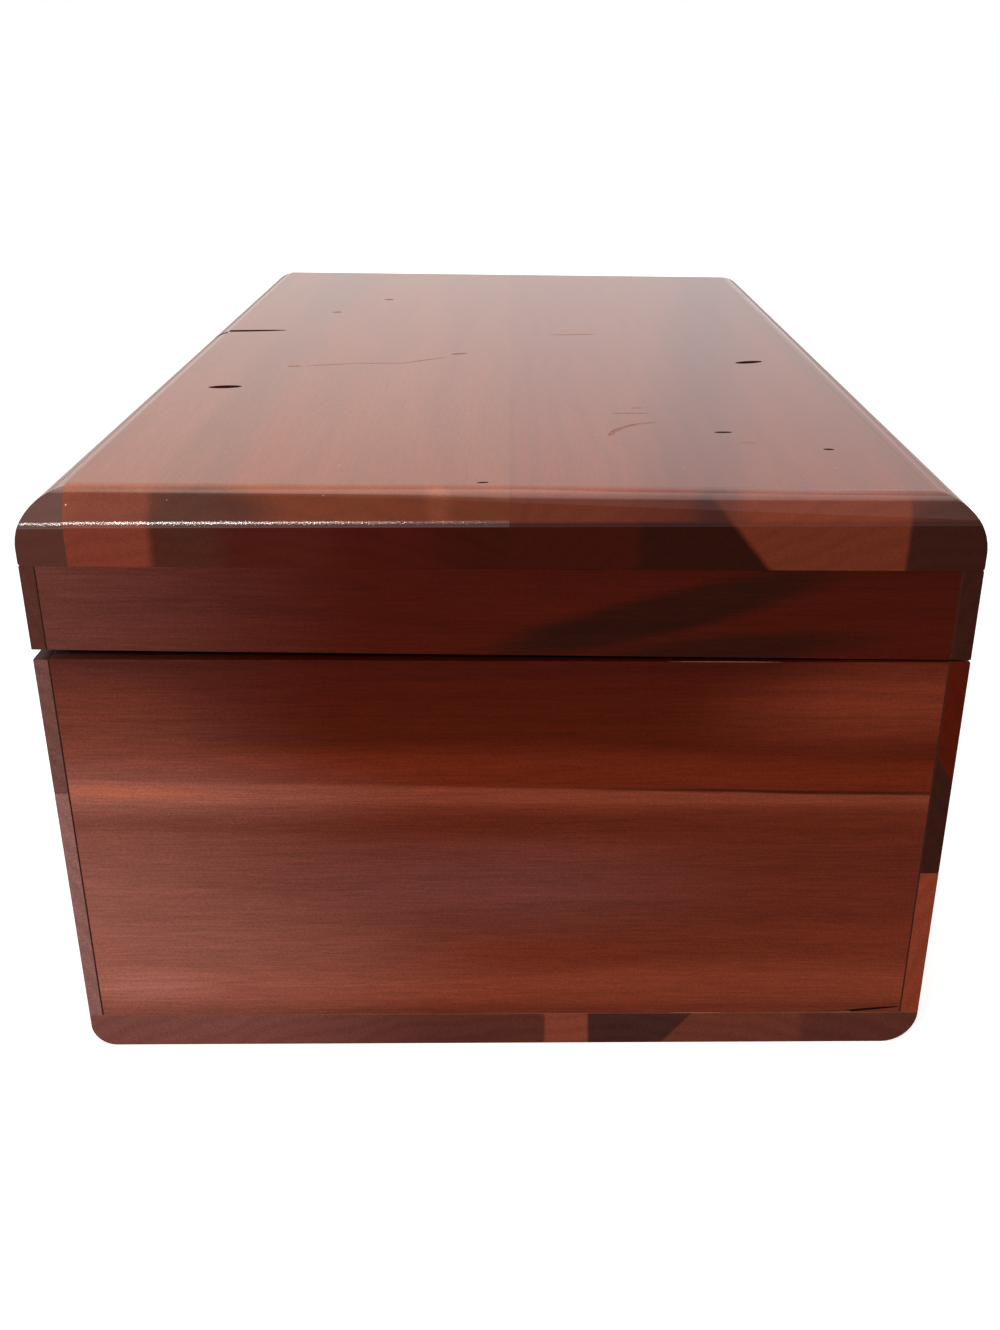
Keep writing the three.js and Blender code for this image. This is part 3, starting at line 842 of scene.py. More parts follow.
FIGURES = {
    "right_end_wall": Figure(
        Lay.END_WALL, Tone.LOWEST,
        (Stripe(7.0, Tone.BAND, 2.5), Stripe(13.5, Tone.BROWN, 5.0),
         Stripe(21.0, Tone.DULL_RED, 6.0), Stripe(36.0, Tone.BROWN, 5.0),
         Stripe(40.3, Tone.STRIPE, 1.4), Stripe(42.8, Tone.WARM, 0.7, drift=-0.0186),
         Stripe(48.0, Tone.RED, 5.0, drift=-0.02), Stripe(54.0, Tone.RED_HEART, 6.0),
         Stripe(58.5, Tone.HEART, 3.5)),
        (Blot(42.0, 42.1, 46.0, 0.42, Tone.BLACK_HEART, tilt=-1.07, strength=0.8, core=0.2),
         # the rose clouds on the left are partly the wood and partly painted light and haze from the
         # left
         Blot(-68.0, 22.0, 66.0, 42.0, Tone.ROSE, strength=0.46, core=0.0),
         Blot(-60.0, 41.0, 60.0, 9.0, Tone.ROSE, strength=0.2, core=0.0),
         Blot(-66.0, 55.0, 48.0, 20.0, Tone.ROSE, strength=0.1, core=0.0),
         Blot(-54.0, 41.9, 22.0, 1.8, Tone.STRIPE_LIGHT, strength=0.3, core=0.1),
         Blot(-54.0, 10.5, 16.0, 4.5, Tone.ROSE, strength=0.32, core=0.1),
         Blot(-4.0, 27.0, 50.0, 12.0, Tone.PLUM, strength=0.5, core=0.1),
         Blot(54.0, 55.5, 36.0, 9.5, Tone.LIP_RED, tilt=4.0, strength=0.56, core=0.1),
         Blot(-58.0, 53.0, 26.0, 9.0, Tone.LIP_RED, strength=0.25, core=0.1),
         Blot(-34.0, 14.0, 40.0, 13.0, Tone.ROSE, strength=0.13, core=0.2),
         Blot(0.0, 37.0, 140.0, 3.2, Tone.RED_HEART, strength=0.45, core=0.2)),
        pith=(20.0, 160.0), ring_pitch=2.1, ring_strength=0.08, sway=0.5, fibre=0.95, seed=1.0),
    "lid_right_rail": Figure(
        Lay.END_WALL, Tone.RIM,
        (Stripe(69.0, Tone.HEART, 5.0),),
        # the rose cloud on the left is partly the wood and partly painted light from the left
        (Blot(-76.0, 67.0, 62.0, 40.0, Tone.ROSE, strength=0.2, core=0.0),
         Blot(20.0, 67.5, 30.0, 3.8, Tone.BLACK_HEART, tilt=14.0, strength=1.0, core=0.5),
         Blot(30.0, 63.0, 26.0, 3.0, Tone.BLACK_HEART, tilt=4.0, strength=0.9, core=0.3)),
        pith=(90.0, 60.0), ring_pitch=2.4, ring_strength=0.1, sway=0.6, fibre=0.95, seed=2.0),
    "left_end_wall": Figure(
        Lay.END_WALL, Tone.BAND,
        (Stripe(14.0, Tone.WARM, 3.0), Stripe(33.0, Tone.SAP, 1.2, drift=0.03),
         Stripe(38.5, Tone.RED, 1.6, drift=0.03), Stripe(50.0, Tone.WARM, 6.0)),
        (Blot(22.0, 22.0, 5.0, 3.6, Tone.BLACK_HEART, core=0.5),
         Blot(22.0, 22.0, 26.0, 7.0, Tone.HEART, strength=0.6, core=0.1)),
        pith=(-30.0, -150.0), sway=1.6, seed=3.0),
    "lid_left_rail": Figure(
        Lay.END_WALL, Tone.RED, (Stripe(68.0, Tone.RED_HEART, 4.0),),
        (Blot(-30.0, 66.0, 24.0, 3.0, Tone.BLACK_HEART, tilt=-8.0, strength=0.8, core=0.2),),
        pith=(80.0, -140.0), seed=4.0),
    "front_wall_lower_board": Figure(
        Lay.LONG_WALL, Tone.BAND,
        (Stripe(12.0, Tone.WARM, 4.0), Stripe(22.0, Tone.SAP, 1.4, drift=0.025),
         Stripe(27.0, Tone.WARM, 1.2, drift=0.02), Stripe(34.0, Tone.BROWN, 6.0)),
        (Blot(-66.0, 16.0, 4.6, 3.4, Tone.BLACK_HEART, core=0.55),
         Blot(-66.0, 16.0, 30.0, 6.0, Tone.HEART, strength=0.6, core=0.1)),
        end_first=Tone.LIP_ROSE, pith=(-20.0, -120.0), sway=2.2, seed=5.0),
    "front_wall_upper_board": Figure(
        Lay.LONG_WALL, Tone.RED,
        (Stripe(47.0, Tone.WARM, 3.0, drift=-0.02), Stripe(55.0, Tone.RED_HEART, 4.0, drift=0.015)),
        (Blot(70.0, 52.0, 40.0, 4.5, Tone.DARK_HEART, tilt=5.0, strength=0.8, core=0.1),),
        end_first=Tone.LIP_DARK, pith=(100.0, -20.0), sway=1.8, seed=6.0),
    "back_wall_lower_board": Figure(
        Lay.LONG_WALL, Tone.WARM,
        (Stripe(13.0, Tone.BAND, 4.0), Stripe(20.0, Tone.WARM, 3.0, drift=0.02)),
        end_first=Tone.LIP_RED, pith=(-30.0, 140.0), sway=2.0, seed=7.0),
    "back_wall_upper_board": Figure(
        Lay.LONG_WALL, Tone.RED,
        (Stripe(36.0, Tone.RED_HEART, 3.0), Stripe(48.0, Tone.SAP, 1.5, drift=-0.02),
         Stripe(52.0, Tone.WARM, 1.5, drift=-0.015)),
        (Blot(-20.0, 42.0, 46.0, 4.0, Tone.DARK_HEART, tilt=-5.0, strength=0.85, core=0.1),),
        end_first=Tone.SMOKE, end_stripes=(Stripe(143.0, Tone.LIP_DEEP, 0.6, lean=-1.6),),
        pith=(110.0, 150.0), sway=1.8, seed=8.0),
    "bottom_board": Figure(
        Lay.FLAT, Tone.BROWN,
        (Stripe(-20.0, Tone.WARM, 20.0), Stripe(5.7, Tone.BAND, 0.5), Stripe(12.0, Tone.SMOKE, 0.6),
         Stripe(22.7, Tone.BROWN, 0.6, lean=0.9), Stripe(44.0, Tone.WARM, 2.0)),
        end_first=Tone.BOTTOM_ROSE,
        end_stripes=(Stripe(-25.0, Tone.BOTTOM_BROWN, 40.0), Stripe(5.7, Tone.BOTTOM_RED, 0.5),
                     Stripe(12.0, Tone.BOTTOM_DARK, 0.6),
                     Stripe(22.7, Tone.BOTTOM_WARM, 0.6, lean=0.9),
                     Stripe(44.0, Tone.BOTTOM_BROWN, 2.0)),
        pith=(10.0, -130.0), sway=0.5, seed=9.0),
    "lid_front_rail": Figure(
        Lay.LONG_WALL, Tone.HEART, (Stripe(69.0, Tone.RED, 3.0, drift=0.01),),
        end_first=Tone.END_BROWN, pith=(30.0, -160.0), seed=10.0),
    "lid_back_rail": Figure(
        Lay.LONG_WALL, Tone.RED_HEART, (Stripe(66.0, Tone.RED, 3.0, drift=-0.01),),
        end_first=Tone.SMOKE, pith=(30.0, 160.0), seed=11.0),
    "lid_top_front_strip": Figure(
        Lay.FLAT, Tone.TOP_BROWN, (),
        # dust and a painted sheen on the front corner of the roll
        (Blot(115.0, -59.0, 5.0, 12.0, Tone.ROLL_DUST_AND_SHEEN, strength=0.9, core=0.5),),
        end_first=Tone.END_BROWN, pith=(-60.0, 140.0), ring_strength=0.04, sway=0.2, fibre=0.3,
        seed=12.0),
    "lid_top_middle_board": Figure(
        Lay.FLAT, Tone.TOP_LIGHT,
        (Stripe(-45.0, Tone.TOP_BROWN, 3.0), Stripe(-36.0, Tone.TOP_WARM, 5.0),
         Stripe(-14.0, Tone.TOP_RED, 9.0)),
        (Blot(115.0, -50.0, 5.0, 8.0, Tone.ROLL_GREY, strength=0.5, core=0.4),
         Blot(115.0, -38.0, 5.0, 12.0, Tone.ROLL_GREY, strength=0.85, core=0.4),
         Blot(113.0, -8.5, 3.0, 2.4, Tone.ROLL_RUST, strength=0.5, core=0.2)),
        end_first=Tone.PATCH,
        end_stripes=(Stripe(-45.0, Tone.PATCH_BROWN, 1.6), Stripe(-36.0, Tone.END_HEART, 5.0),
                     Stripe(-22.0, Tone.HEART, 8.0), Stripe(-9.0, Tone.END_DARK, 10.0)),
        pith=(-34.0, -20.0), ring_strength=0.08, sway=0.4, fibre=0.6, seed=13.0),
    "lid_top_back_board": Figure(
        Lay.FLAT, Tone.TOP_DIM,
        (Stripe(30.5, Tone.TOP_SHADE, 12.0, drift=-0.118),
         Stripe(43.5, Tone.TOP_DULL, 9.0, drift=-0.118),
         Stripe(51.8, Tone.TOP_GREEN, 3.0)),
        (Blot(115.0, 27.0, 6.0, 5.0, Tone.ROLL_DARK, strength=0.9, core=0.3),
         Blot(115.0, 58.0, 5.0, 8.0, Tone.ROLL_DARK, strength=0.6, core=0.4)),
        end_first=Tone.END_RED,
        end_stripes=(Stripe(17.0, Tone.BLACK_HEART, 1.5),
                     Stripe(1619.0, Tone.END_RED, 12.0, lean=-20.0),
                     Stripe(98.2, Tone.PATCH_WARM, 1.4, lean=-0.87), Stripe(51.8, Tone.SMOKE, 0.8)),
        pith=(70.0, 10.0), ring_strength=0.08, sway=0.4, fibre=0.6, seed=14.0),
}


# Metal

@dataclass(frozen=True)
class Metal:
    """A worn metal: its clean and dull colour as sRGB, its roughness, and its clouds' size in mm."""

    name: str
    clean: str
    dull: str
    roughness: float
    patch: float

    def finish(self) -> Material:
        """Makes the metal, cloudy where hands have dulled it.

        Returns:
            The material.
        """
        material, add = new_material(self.name)
        place = add("TexCoord", out="Object")
        cloud = add("TexNoise", {"Vector": place, "Scale": 1 / (self.patch * MM), "Detail": 5.0})
        share = add("MapRange", {"Value": cloud, "From Min": 0.4, "From Max": 0.7})
        metal = add("Mix", {0: share, BELOW: colour(self.clean), ABOVE: colour(self.dull)},
                    **COLOURS)
        rough = add("MapRange", {"Value": cloud, "From Min": 0.3, "From Max": 0.7,
                                 "To Min": self.roughness, "To Max": self.roughness + 0.18})
        fine = add("TexNoise", {"Vector": place, "Scale": 1 / (0.35 * MM), "Detail": 3.0})
        normal = add("Bump", {"Strength": 0.6, "Distance": 0.01 * MM, "Height": fine})
        shader = add("BsdfPrincipled", {"Base Color": metal, "Metallic": 1.0, "Roughness": rough,
                                        "Normal": normal})
        add("OutputMaterial", {"Surface": shader})
        return material


# Sheet brass, stamped and drum polished, dulled brown in clouds
BRASS = Metal("stamped_brass", "c8a052", "8a6a38", roughness=0.24, patch=4.0)
# Spring steel, oil blued and gone grey
STEEL = Metal("spring_steel", "8b8782", "5c5753", roughness=0.32, patch=3.0)


@dataclass(frozen=True)
class Filler:
    """Old polish and dirt in a mark, some with painted shade: its thick and its thin tone as sRGB."""

    name: str
    thick: str
    thin: str
    roughness: float

    def finish(self) -> Material:
        """Makes the filling, browner where it is thin.

        Returns:
            The material.
        """
        material, add = new_material(self.name)
        place = add("TexCoord", out="Object")
        cloud = add("TexNoise", {"Vector": place, "Scale": 1 / (0.6 * MM), "Detail": 3.0})
        dirt_and_shade = add("Mix", {0: cloud, BELOW: colour(self.thick), ABOVE: colour(self.thin)},
                   **COLOURS)
        shader = add("BsdfPrincipled", {"Base Color": dirt_and_shade, "IOR": 1.15,
                                        "Roughness": self.roughness})
        add("OutputMaterial", {"Surface": shader})
        return material


# Polish, dirt and painted shade in deep dents and the open crack: almost black, without gloss
DIRT_AND_SHADE = Filler("dark_polish_in_dents", "140805", "2e150d", roughness=0.8)
# A film of the same in shallow scratches, brown, which also paints their shadow
SCUFF_AND_SHADE = Filler("brown_polish_in_scratches", "7c5040", "a0735f", roughness=0.5)
# And in the joints between the boards: hardly darker than the wood
SEAM = Filler("old_polish_in_joints", "24100b", "43231a", roughness=0.5)


@dataclass(frozen=True)
class Fillings:
    """What fills deep marks, shallow scratches and joints, each made once; the first two paint shade
    too.
    """

    dirt_and_shade: Material
    scuff_and_shade: Material
    seam: Material


# Metal pieces

@dataclass(frozen=True)
class Screw:
    """A slotted countersunk brass screw, in mm."""

    length: float = 7.0
    head_radius: float = 1.7
    head_depth: float = 0.85
    shank_radius: float = 0.85
    root_radius: float = 0.62
    point: float = 1.6
    tip_radius: float = 0.08
    pitch: float = 0.62
    rim: float = 0.12
    slot_width: float = 0.44
    slot_depth: float = 0.42
    fit: float = 0.12

    def make(self, name: str, place: Sequence[float], turn: Turn) -> Piece:
        """Turns the screw, cuts its thread and saws its slot.

        Args:
            name: the piece's name.
            place: the middle of the top of its head, in mm.
            turn: which way its head faces, UP for a screw that points down.

        Returns:
            The screw.
        """
        profile = [(self.tip_radius, -self.length), (self.root_radius, self.point - self.length)]
        height = self.point - self.length + self.pitch / 2
        while height < -self.head_depth - self.pitch:
            profile += [(self.shank_radius, height), (self.root_radius, height + self.pitch / 2)]
            height += self.pitch
        profile += [(self.root_radius, -self.head_depth), (self.head_radius, -self.rim),
                    (self.head_radius - self.rim, 0.0), (0.3, 0.0)]
        screw = turned(name, profile, (0, 0, 0), Turn.UP, 24)
        half = self.slot_width / 2
        work(screw, bar("slot", (-2, -half, -self.slot_depth), (2, half, 1)))
        screw.rotation_euler = turn.value
        screw.location = Vector(place) * MM
        return settle(screw)

    def hole(self, place: Sequence[float], turn: Turn) -> Piece:
        """Makes the cutter for the screw's hole.

        Args:
            place: the middle of the top of its head, in mm.
            turn: which way its head faces.

        Returns:
            The cutter.
        """
        bore = self.shank_radius + self.fit
        mouth = self.head_radius + self.fit
        profile = [(bore, -self.length - self.fit), (bore, -self.head_depth), (mouth, 0.0),
                   (mouth, 2.0)]
        return turned("screw_hole", profile, place, turn, 24)


LONG_SCREW = Screw()
SHORT_SCREW = Screw(length=5.6)


class Leaf(Enum):
    """A leaf of a hinge: its side of the pin, its body and the turn of its screws."""

    BOX = (-1, "chest", Turn.UP)
    LID = (1, "lid", Turn.DOWN)

    def __init__(self, side: int, body: str, turn: Turn) -> None:
        """Keeps the side of the pin, the body and the turn of the screws."""
        self.side = side
        self.body = body
        self.turn = turn


@dataclass
class StopHinge:
    """A pair of small brass butt hinges with a stop lug, let into the back edges; sizes in mm."""

    pin_y: float = 64.1
    pin_z: float = 61.35
    places: Pair = (68.0, -68.0)
    half_length: float = 11.0
    leaf_width: float = 7.2
    leaf_thickness: float = 1.1
    face: float = 0.15
    barrel: float = 1.9
    reach: float = 2.1
    middle_end: float = 3.6
    outer_start: float = 3.8
    corner: float = 1.3
    eased: float = 0.12
    knuckle_rim: float = 0.18
    seam: float = 0.22
    pin: float = 0.8
    bore_fit: float = 0.1
    pin_proud: float = 0.3
    stop_length: float = 4.8
    stop_thickness: float = 1.2
    stop_corner: float = 0.9
    stop_turn: float = -6.65
    screw_x: float = 6.8
    fit: float = 0.15

    def build(self, brass: Material) -> None:
        """Builds one hinge, copies it for the other side and lets both ride.

        Args:
            brass: the metal.
        """
        right = self.places[0]
        made = {"hinge_box_leaf": (self.leaf(Leaf.BOX), "chest"),
                "hinge_lid_leaf": (self.leaf(Leaf.LID), "lid"),
                "hinge_pin": (self.pin_rod(), "chest")}
        for number, offset in enumerate((-self.screw_x, self.screw_x), 1):
            for leaf in Leaf:
                screw = LONG_SCREW.make("screw", self.screw_place(right + offset, leaf), leaf.turn)
                made[f"hinge_{leaf.name.lower()}_screw_{number}"] = (screw, leaf.body)
        for key, (piece, body) in made.items():
            for side, shift in (("right", 0.0), ("left", self.places[1] - right)):
                node = f"{side}_{key}"
                copy = twin(piece, f"brass_{node}", (shift * MM, 0, 0))
                dress(copy, [brass])
                fit(copy, body, "brass", [node])
            bpy.data.objects.remove(piece)

    def screw_place(self, x: float, leaf: Leaf) -> Triple:
        """Gives the top of a screw's head on a leaf."""
        return x, self.pin_y - self.reach - self.leaf_width / 2, self.pin_z + leaf.side * self.face

    def screw_holes(self, x: float, leaf: Leaf) -> list[Piece]:
        """Makes the cutters for the two screws of a leaf whose middle is at x."""
        return [LONG_SCREW.hole(self.screw_place(x + offset, leaf), leaf.turn)
                for offset in (-self.screw_x, self.screw_x)]

    def heights(self, leaf: Leaf, inner: float) -> list[float]:
        """Gives the lower and the upper height of a slot from inner to the leaf's outer face."""
        outer = self.face + self.leaf_thickness
        return sorted(self.pin_z + leaf.side * reach for reach in (inner, outer))

    def leaf(self, leaf: Leaf) -> Piece:
        """Makes a leaf of the right hinge.

        Args:
            leaf: which one.

        Returns:
            The leaf with its knuckles.
        """
        x, y, z = self.places[0], self.pin_y, self.pin_z
        inner = y - self.reach - self.leaf_width
        low, high = self.heights(leaf, self.face)
        plate = bar("leaf", (x - self.half_length, inner, low), (x + self.half_length, y, high))
        round_edges(plate, lambda a, b: abs(a.z - b.z) > THROUGH and a.y < inner * MM + NEAR,
                    self.corner * MM, 5)
        ease(plate, self.eased * MM)
        if leaf is Leaf.BOX:
            gaps = [(-self.outer_start, self.outer_start)]
            knuckles = [(-self.half_length, -self.outer_start), (self.outer_start, self.half_length)]
        else:
            gaps = [(-20, -self.middle_end), (self.middle_end, 20)]
            knuckles = [(-self.middle_end, self.middle_end)]
        for start, end in gaps:
            work(plate, bar("gap", (x + start, y - self.reach, z - 5), (x + end, y + 5, z + 5)))
        for start, end in knuckles:
            work(plate, self.knuckle(x + start, x + end, leaf), cut=Cut.JOIN)
        if leaf is Leaf.LID:
            work(plate, self.stop(), cut=Cut.JOIN)
        bore = self.pin + self.bore_fit
        work(plate, turned("bore", [(bore, -20), (bore, 20)], (x, y, z), Turn.ALONG_X, 24),
             *self.screw_holes(x, leaf))
        return plate

    def knuckle(self, start: float, end: float, leaf: Leaf) -> Piece:
        """Rolls one knuckle, with the fine seam where the sheet closes on itself.

        Args:
            start: where it starts along the pin, in mm.
            end: where it ends.
            leaf: the leaf that it belongs to.

        Returns:
            The knuckle.
        """
        half, rim = (end - start) / 2, self.knuckle_rim
        profile = [(self.barrel - rim, -half), (self.barrel, rim - half), (self.barrel, half - rim),
                   (self.barrel - rim, half)]
        knuckle = turned("knuckle", profile, ((start + end) / 2, self.pin_y, self.pin_z),
                         Turn.ALONG_X, 40)
        # the seam starts within the barrel and opens past its rim
        middle, gap = self.pin_y - self.barrel * 0.62, self.seam / 2
        work(knuckle, bar("seam", (start - 1, middle - gap, self.pin_z + leaf.side * 1.0),
                          (end + 1, middle + gap, self.pin_z + leaf.side * 2.5)))
        return knuckle

    def stop(self) -> Piece:
        """Makes the lug that meets the back of the box when the lid is fully open.

        Returns:
            The lug.
        """
        lug = bar("stop", (-self.middle_end, 0, -self.stop_thickness / 2),
                  (self.middle_end, self.stop_length, self.stop_thickness / 2))
        round_edges(lug, lambda a, b: abs(a.z - b.z) > THROUGH and a.y > MM,
                    self.stop_corner * MM, 4)
        ease(lug, self.eased * MM)
        lug.rotation_euler = (math.radians(self.stop_turn), 0, 0)
        lug.location = Vector((self.places[0], self.pin_y, self.pin_z)) * MM
        return settle(lug)

    def pin_rod(self) -> Piece:
        """Turns the right hinge's pin, its ends riveted round.

        Returns:
            The pin.
        """
        end = self.half_length + self.pin_proud
        profile = [(self.pin * 0.5, -end), (self.pin * 0.85, 0.1 - end), (self.pin, 0.3 - end),
                   (self.pin, end - 0.3), (self.pin * 0.85, end - 0.1), (self.pin * 0.5, end)]
        return turned("pin", profile, (self.places[0], self.pin_y, self.pin_z), Turn.ALONG_X, 24)

    def mortise(self, board: Piece, leaf: Leaf, bare: Material) -> None:
        """Lets one leaf of both hinges into a board's edge.

        Args:
            board: the board to cut.
            leaf: which leaf it takes.
            bare: the finish of the cut wood.
        """
        # the room runs 2 mm past the pin's height and so opens the board's edge
        low, high = self.heights(leaf, -2.0)
        reach = self.half_length + self.fit
        inner = self.pin_y - self.reach - self.leaf_width - self.fit
        for x in self.places:
            room = bar("mortise", (x - reach, inner, low), (x + reach, self.pin_y, high))
            carve(board, [room, *self.screw_holes(x, leaf)], bare)


@dataclass
class BoxLock:
    """A small brass box lock with its keyhole plate and strike plate; sizes in mm."""

    inner: float = -52.5
    top: float = 61.2
    half_plate: float = 18.0
    half_case: float = 13.0
    depth: float = 6.5
    height: float = 18.0
    sheet: float = 0.9
    plate_corner: float = 2.4
    edge_corner: float = 1.1
    cap: float = 0.8
    middle: float = -55.8
    screw_x: float = 15.5
    side_screw_z: float = 50.2
    runner_x: Pair = (5.0, 12.3)
    runner_z: Pair = (50.6, 51.4)
    staple_slot: Pair = (1.3, 2.3)
    keyhole_z: float = 48.0
    keyhole_radius: float = 1.7
    keyhole_slot: float = 1.5
    keyhole_foot: float = 44.6
    keyhole_y: Pair = (-64.5, -58.5)
    oval: Pair = (5.5, 8.6)
    oval_z: float = 46.6
    oval_face: float = -62.8
    oval_thickness: float = 0.8
    oval_pin: float = 6.6
    strike_face: float = 62.5
    strike_half: Pair = (11.0, 2.8)
    strike_thickness: float = 1.0
    strike_corner: float = 1.2
    strike_screw_x: float = 8.0
    staple_foot: float = 55.3
    staple_half: Pair = (0.8, 1.8)
    staple_corner: float = 0.8
    window_half: float = 1.0
    window_z: Pair = (56.1, 58.7)
    window_corner: float = 0.35
    eased: float = 0.08
    fit: float = 0.15

    def build(self, brass: Material) -> None:
        """Builds the parts of the lock that show, and lets them ride.

        Args:
            brass: the metal.
        """
        made = [(self.case(), "chest"), (self.keyhole_plate(), "chest"), (self.strike(), "lid")]
        for number, place in enumerate(self.pin_places(), 1):
            made.append((self.pin(f"brass_keyhole_plate_pin_{number}", place), "chest"))
        for name, screw, place, turn, body in self.screws():
            made.append((screw.make(f"brass_{name}", place, turn), body))
        for piece, body in made:
            dress(piece, [brass])
            fit(piece, body, "brass", [piece.name.removeprefix("brass_")])

    def screws(self) -> list[tuple[str, Screw, Triple, Turn, str]]:
        """Lists the screws of case and strike plate.

        Returns:
            The node, the kind, the top of the head, the turn and the body of each.
        """
        listed = []
        for number, side in enumerate((-1, 1), 1):
            x = side * self.screw_x
            strike_x = side * self.strike_screw_x
            listed += [
                (f"lock_side_screw_{number}", SHORT_SCREW, (x, self.inner, self.side_screw_z),
                 Turn.TOWARDS_BACK, "chest"),
                (f"lock_top_screw_{number}", LONG_SCREW, (x, self.middle, self.top), Turn.UP,
                 "chest"),
                (f"strike_screw_{number}", LONG_SCREW, (strike_x, self.middle, self.strike_face),
                 Turn.DOWN, "lid")]
        return listed

    def screw_holes(self, body: str) -> list[Piece]:
        """Makes the cutters for the screws that a body holds."""
        return [screw.hole(place, turn) for _, screw, place, turn, holder in self.screws()
                if holder == body]

    def pin_places(self) -> list[Triple]:
        """Gives the middle of the underside of each pin's head on the keyhole plate."""
        return [(0, self.oval_face, self.oval_z + side * self.oval_pin) for side in (1, -1)]

    def case(self) -> Piece:
        """Folds the lock's case: a plate down the inner face, one over the edge and the box.

        Returns:
            The case.
        """
        foot, outer, sheet = self.top - self.height, self.inner - self.depth, self.sheet
        cap_back = outer + self.cap
        plate = bar("brass_lock_case", (-self.half_plate, self.inner - sheet, foot),
                    (self.half_plate, self.inner, self.top))
        round_edges(plate, lambda a, b: abs(a.y - b.y) > THROUGH and a.z < foot * MM + NEAR,
                    self.plate_corner * MM, 6)
        edge = bar("edge", (-self.half_plate, outer, self.top - sheet),
                   (self.half_plate, self.inner, self.top))
        round_edges(edge, lambda a, b: abs(a.z - b.z) > THROUGH and a.y < outer * MM + NEAR,
                    self.edge_corner * MM, 5)
        for thin in (plate, edge):
            ease(thin, self.eased * MM, 1)
        case = bar("case", (-self.half_case, cap_back, foot),
                   (self.half_case, self.inner, self.top - sheet / 2))
        work(case, bar("room", (sheet - self.half_case, cap_back - 1, foot + sheet),
                       (self.half_case - sheet, self.inner - sheet, self.top - sheet)))
        (near, far), (low, high) = self.runner_x, self.runner_z
        runners = [bar("runner", (x0, cap_back, low), (x1, self.inner - sheet / 2, high))
                   for x0, x1 in ((near, far), (-far, -near))]
        work(plate, edge, case, *runners, cut=Cut.JOIN)
        wide, deep = self.staple_slot
        work(plate, bar("slot", (-wide, self.middle - deep, self.top - 1.2),
                        (wide, self.middle + deep, self.top + 1)), *self.screw_holes("chest"))
        with edit(plate):
            bpy.ops.mesh.dissolve_degenerate(threshold=WELD)
        return plate

    def keyhole(self) -> Piece:
        """Makes the cutter for the keyhole, from the plate through to the case.

        Returns:
            The cutter.
        """
        front, back = self.keyhole_y
        half, radius = self.keyhole_slot / 2, self.keyhole_radius
        hole = turned("keyhole", [(radius, 0), (radius, back - front)], (0, back, self.keyhole_z),
                      Turn.TOWARDS_FRONT)
        work(hole, bar("key_slot", (-half, front, self.keyhole_foot),
                       (half, back, self.keyhole_z)), cut=Cut.JOIN)
        return hole

    def keyhole_plate(self) -> Piece:
        """Stamps the oval plate with a raised rim, and pierces it.

        Returns:
            The plate.
        """
        deselect()
        bpy.ops.mesh.primitive_circle_add(vertices=72, radius=MM, fill_type="NGON")
        plate = name_new("brass_keyhole_plate")
        wide, high = self.oval
        up = self.oval_thickness
        # how much narrower and how much higher each next line of the rim and the sunk field lies
        steps = ((0.0, up * 0.55), (0.12, up * 0.3), (0.2, up * 0.15), (0.55, 0.0), (0.12, -0.1),
                 (0.12, -0.1))
        with edit(plate):
            bpy.ops.transform.resize(value=(wide, high, 1), center_override=(0, 0, 0))
            for narrower, rise in steps:
                bpy.ops.mesh.extrude_region_move(
                    TRANSFORM_OT_translate={"value": (0, 0, rise * MM)})
                share = (1 - narrower / wide, 1 - narrower / high, 1)
                bpy.ops.transform.resize(value=share, center_override=(0, 0, 0))
                wide, high = wide - narrower, high - narrower
        close_up(plate)
        plate.rotation_euler = Turn.TOWARDS_FRONT.value
        plate.location = (0, (self.oval_face + self.oval_thickness) * MM, self.oval_z * MM)
        settle(plate)
        work(plate, self.keyhole(), *self.pin_holes())
        return plate

    def pin(self, name: str, place: Triple) -> Piece:
        """Turns a round-headed pin that faces the front.

        Args:
            name: the piece's name.
            place: the middle of the underside of its head, in mm.

        Returns:
            The pin.
        """
        profile = [(0.06, -2.6), (0.45, -2.15), (0.45, 0.0), (1.0, 0.0), (0.97, 0.14), (0.87, 0.27),
                   (0.68, 0.39), (0.4, 0.47), (0.12, 0.5)]
        return turned(name, profile, place, Turn.TOWARDS_FRONT, 28)

    def pin_holes(self) -> list[Piece]:
        """Makes the cutters for the pins' holes."""
        return [turned("pin_hole", [(0.55, -2.7), (0.55, 2.0)], place, Turn.TOWARDS_FRONT, 20)
                for place in self.pin_places()]

    def strike(self) -> Piece:
        """Makes the strike plate with its hanging staple.

        Returns:
            The strike plate.
        """
        wide, deep = self.strike_half
        top = self.strike_face + self.strike_thickness
        plate = bar("brass_lid_strike_plate", (-wide, self.middle - deep, self.strike_face),
                    (wide, self.middle + deep, top))
        round_edges(plate, lambda a, b: abs(a.z - b.z) > THROUGH, self.strike_corner * MM, 5)
        ease(plate, self.eased * MM, 1)
        thick, reach = self.staple_half
        foot = self.staple_foot
        staple = bar("staple", (-thick, self.middle - reach, foot),
                     (thick, self.middle + reach, top - 0.2))
        round_edges(staple, lambda a, b: abs(a.x - b.x) > THROUGH and a.z < foot * MM + NEAR,
                    self.staple_corner * MM, 5)
        half, (low, high) = self.window_half, self.window_z
        window = bar("window", (-3, self.middle - half, low), (3, self.middle + half, high))
        round_edges(window, lambda a, b: abs(a.x - b.x) > THROUGH, self.window_corner * MM, 3)
        work(staple, window)
        work(plate, staple, cut=Cut.JOIN)
        work(plate, *self.screw_holes("lid"))
        return plate

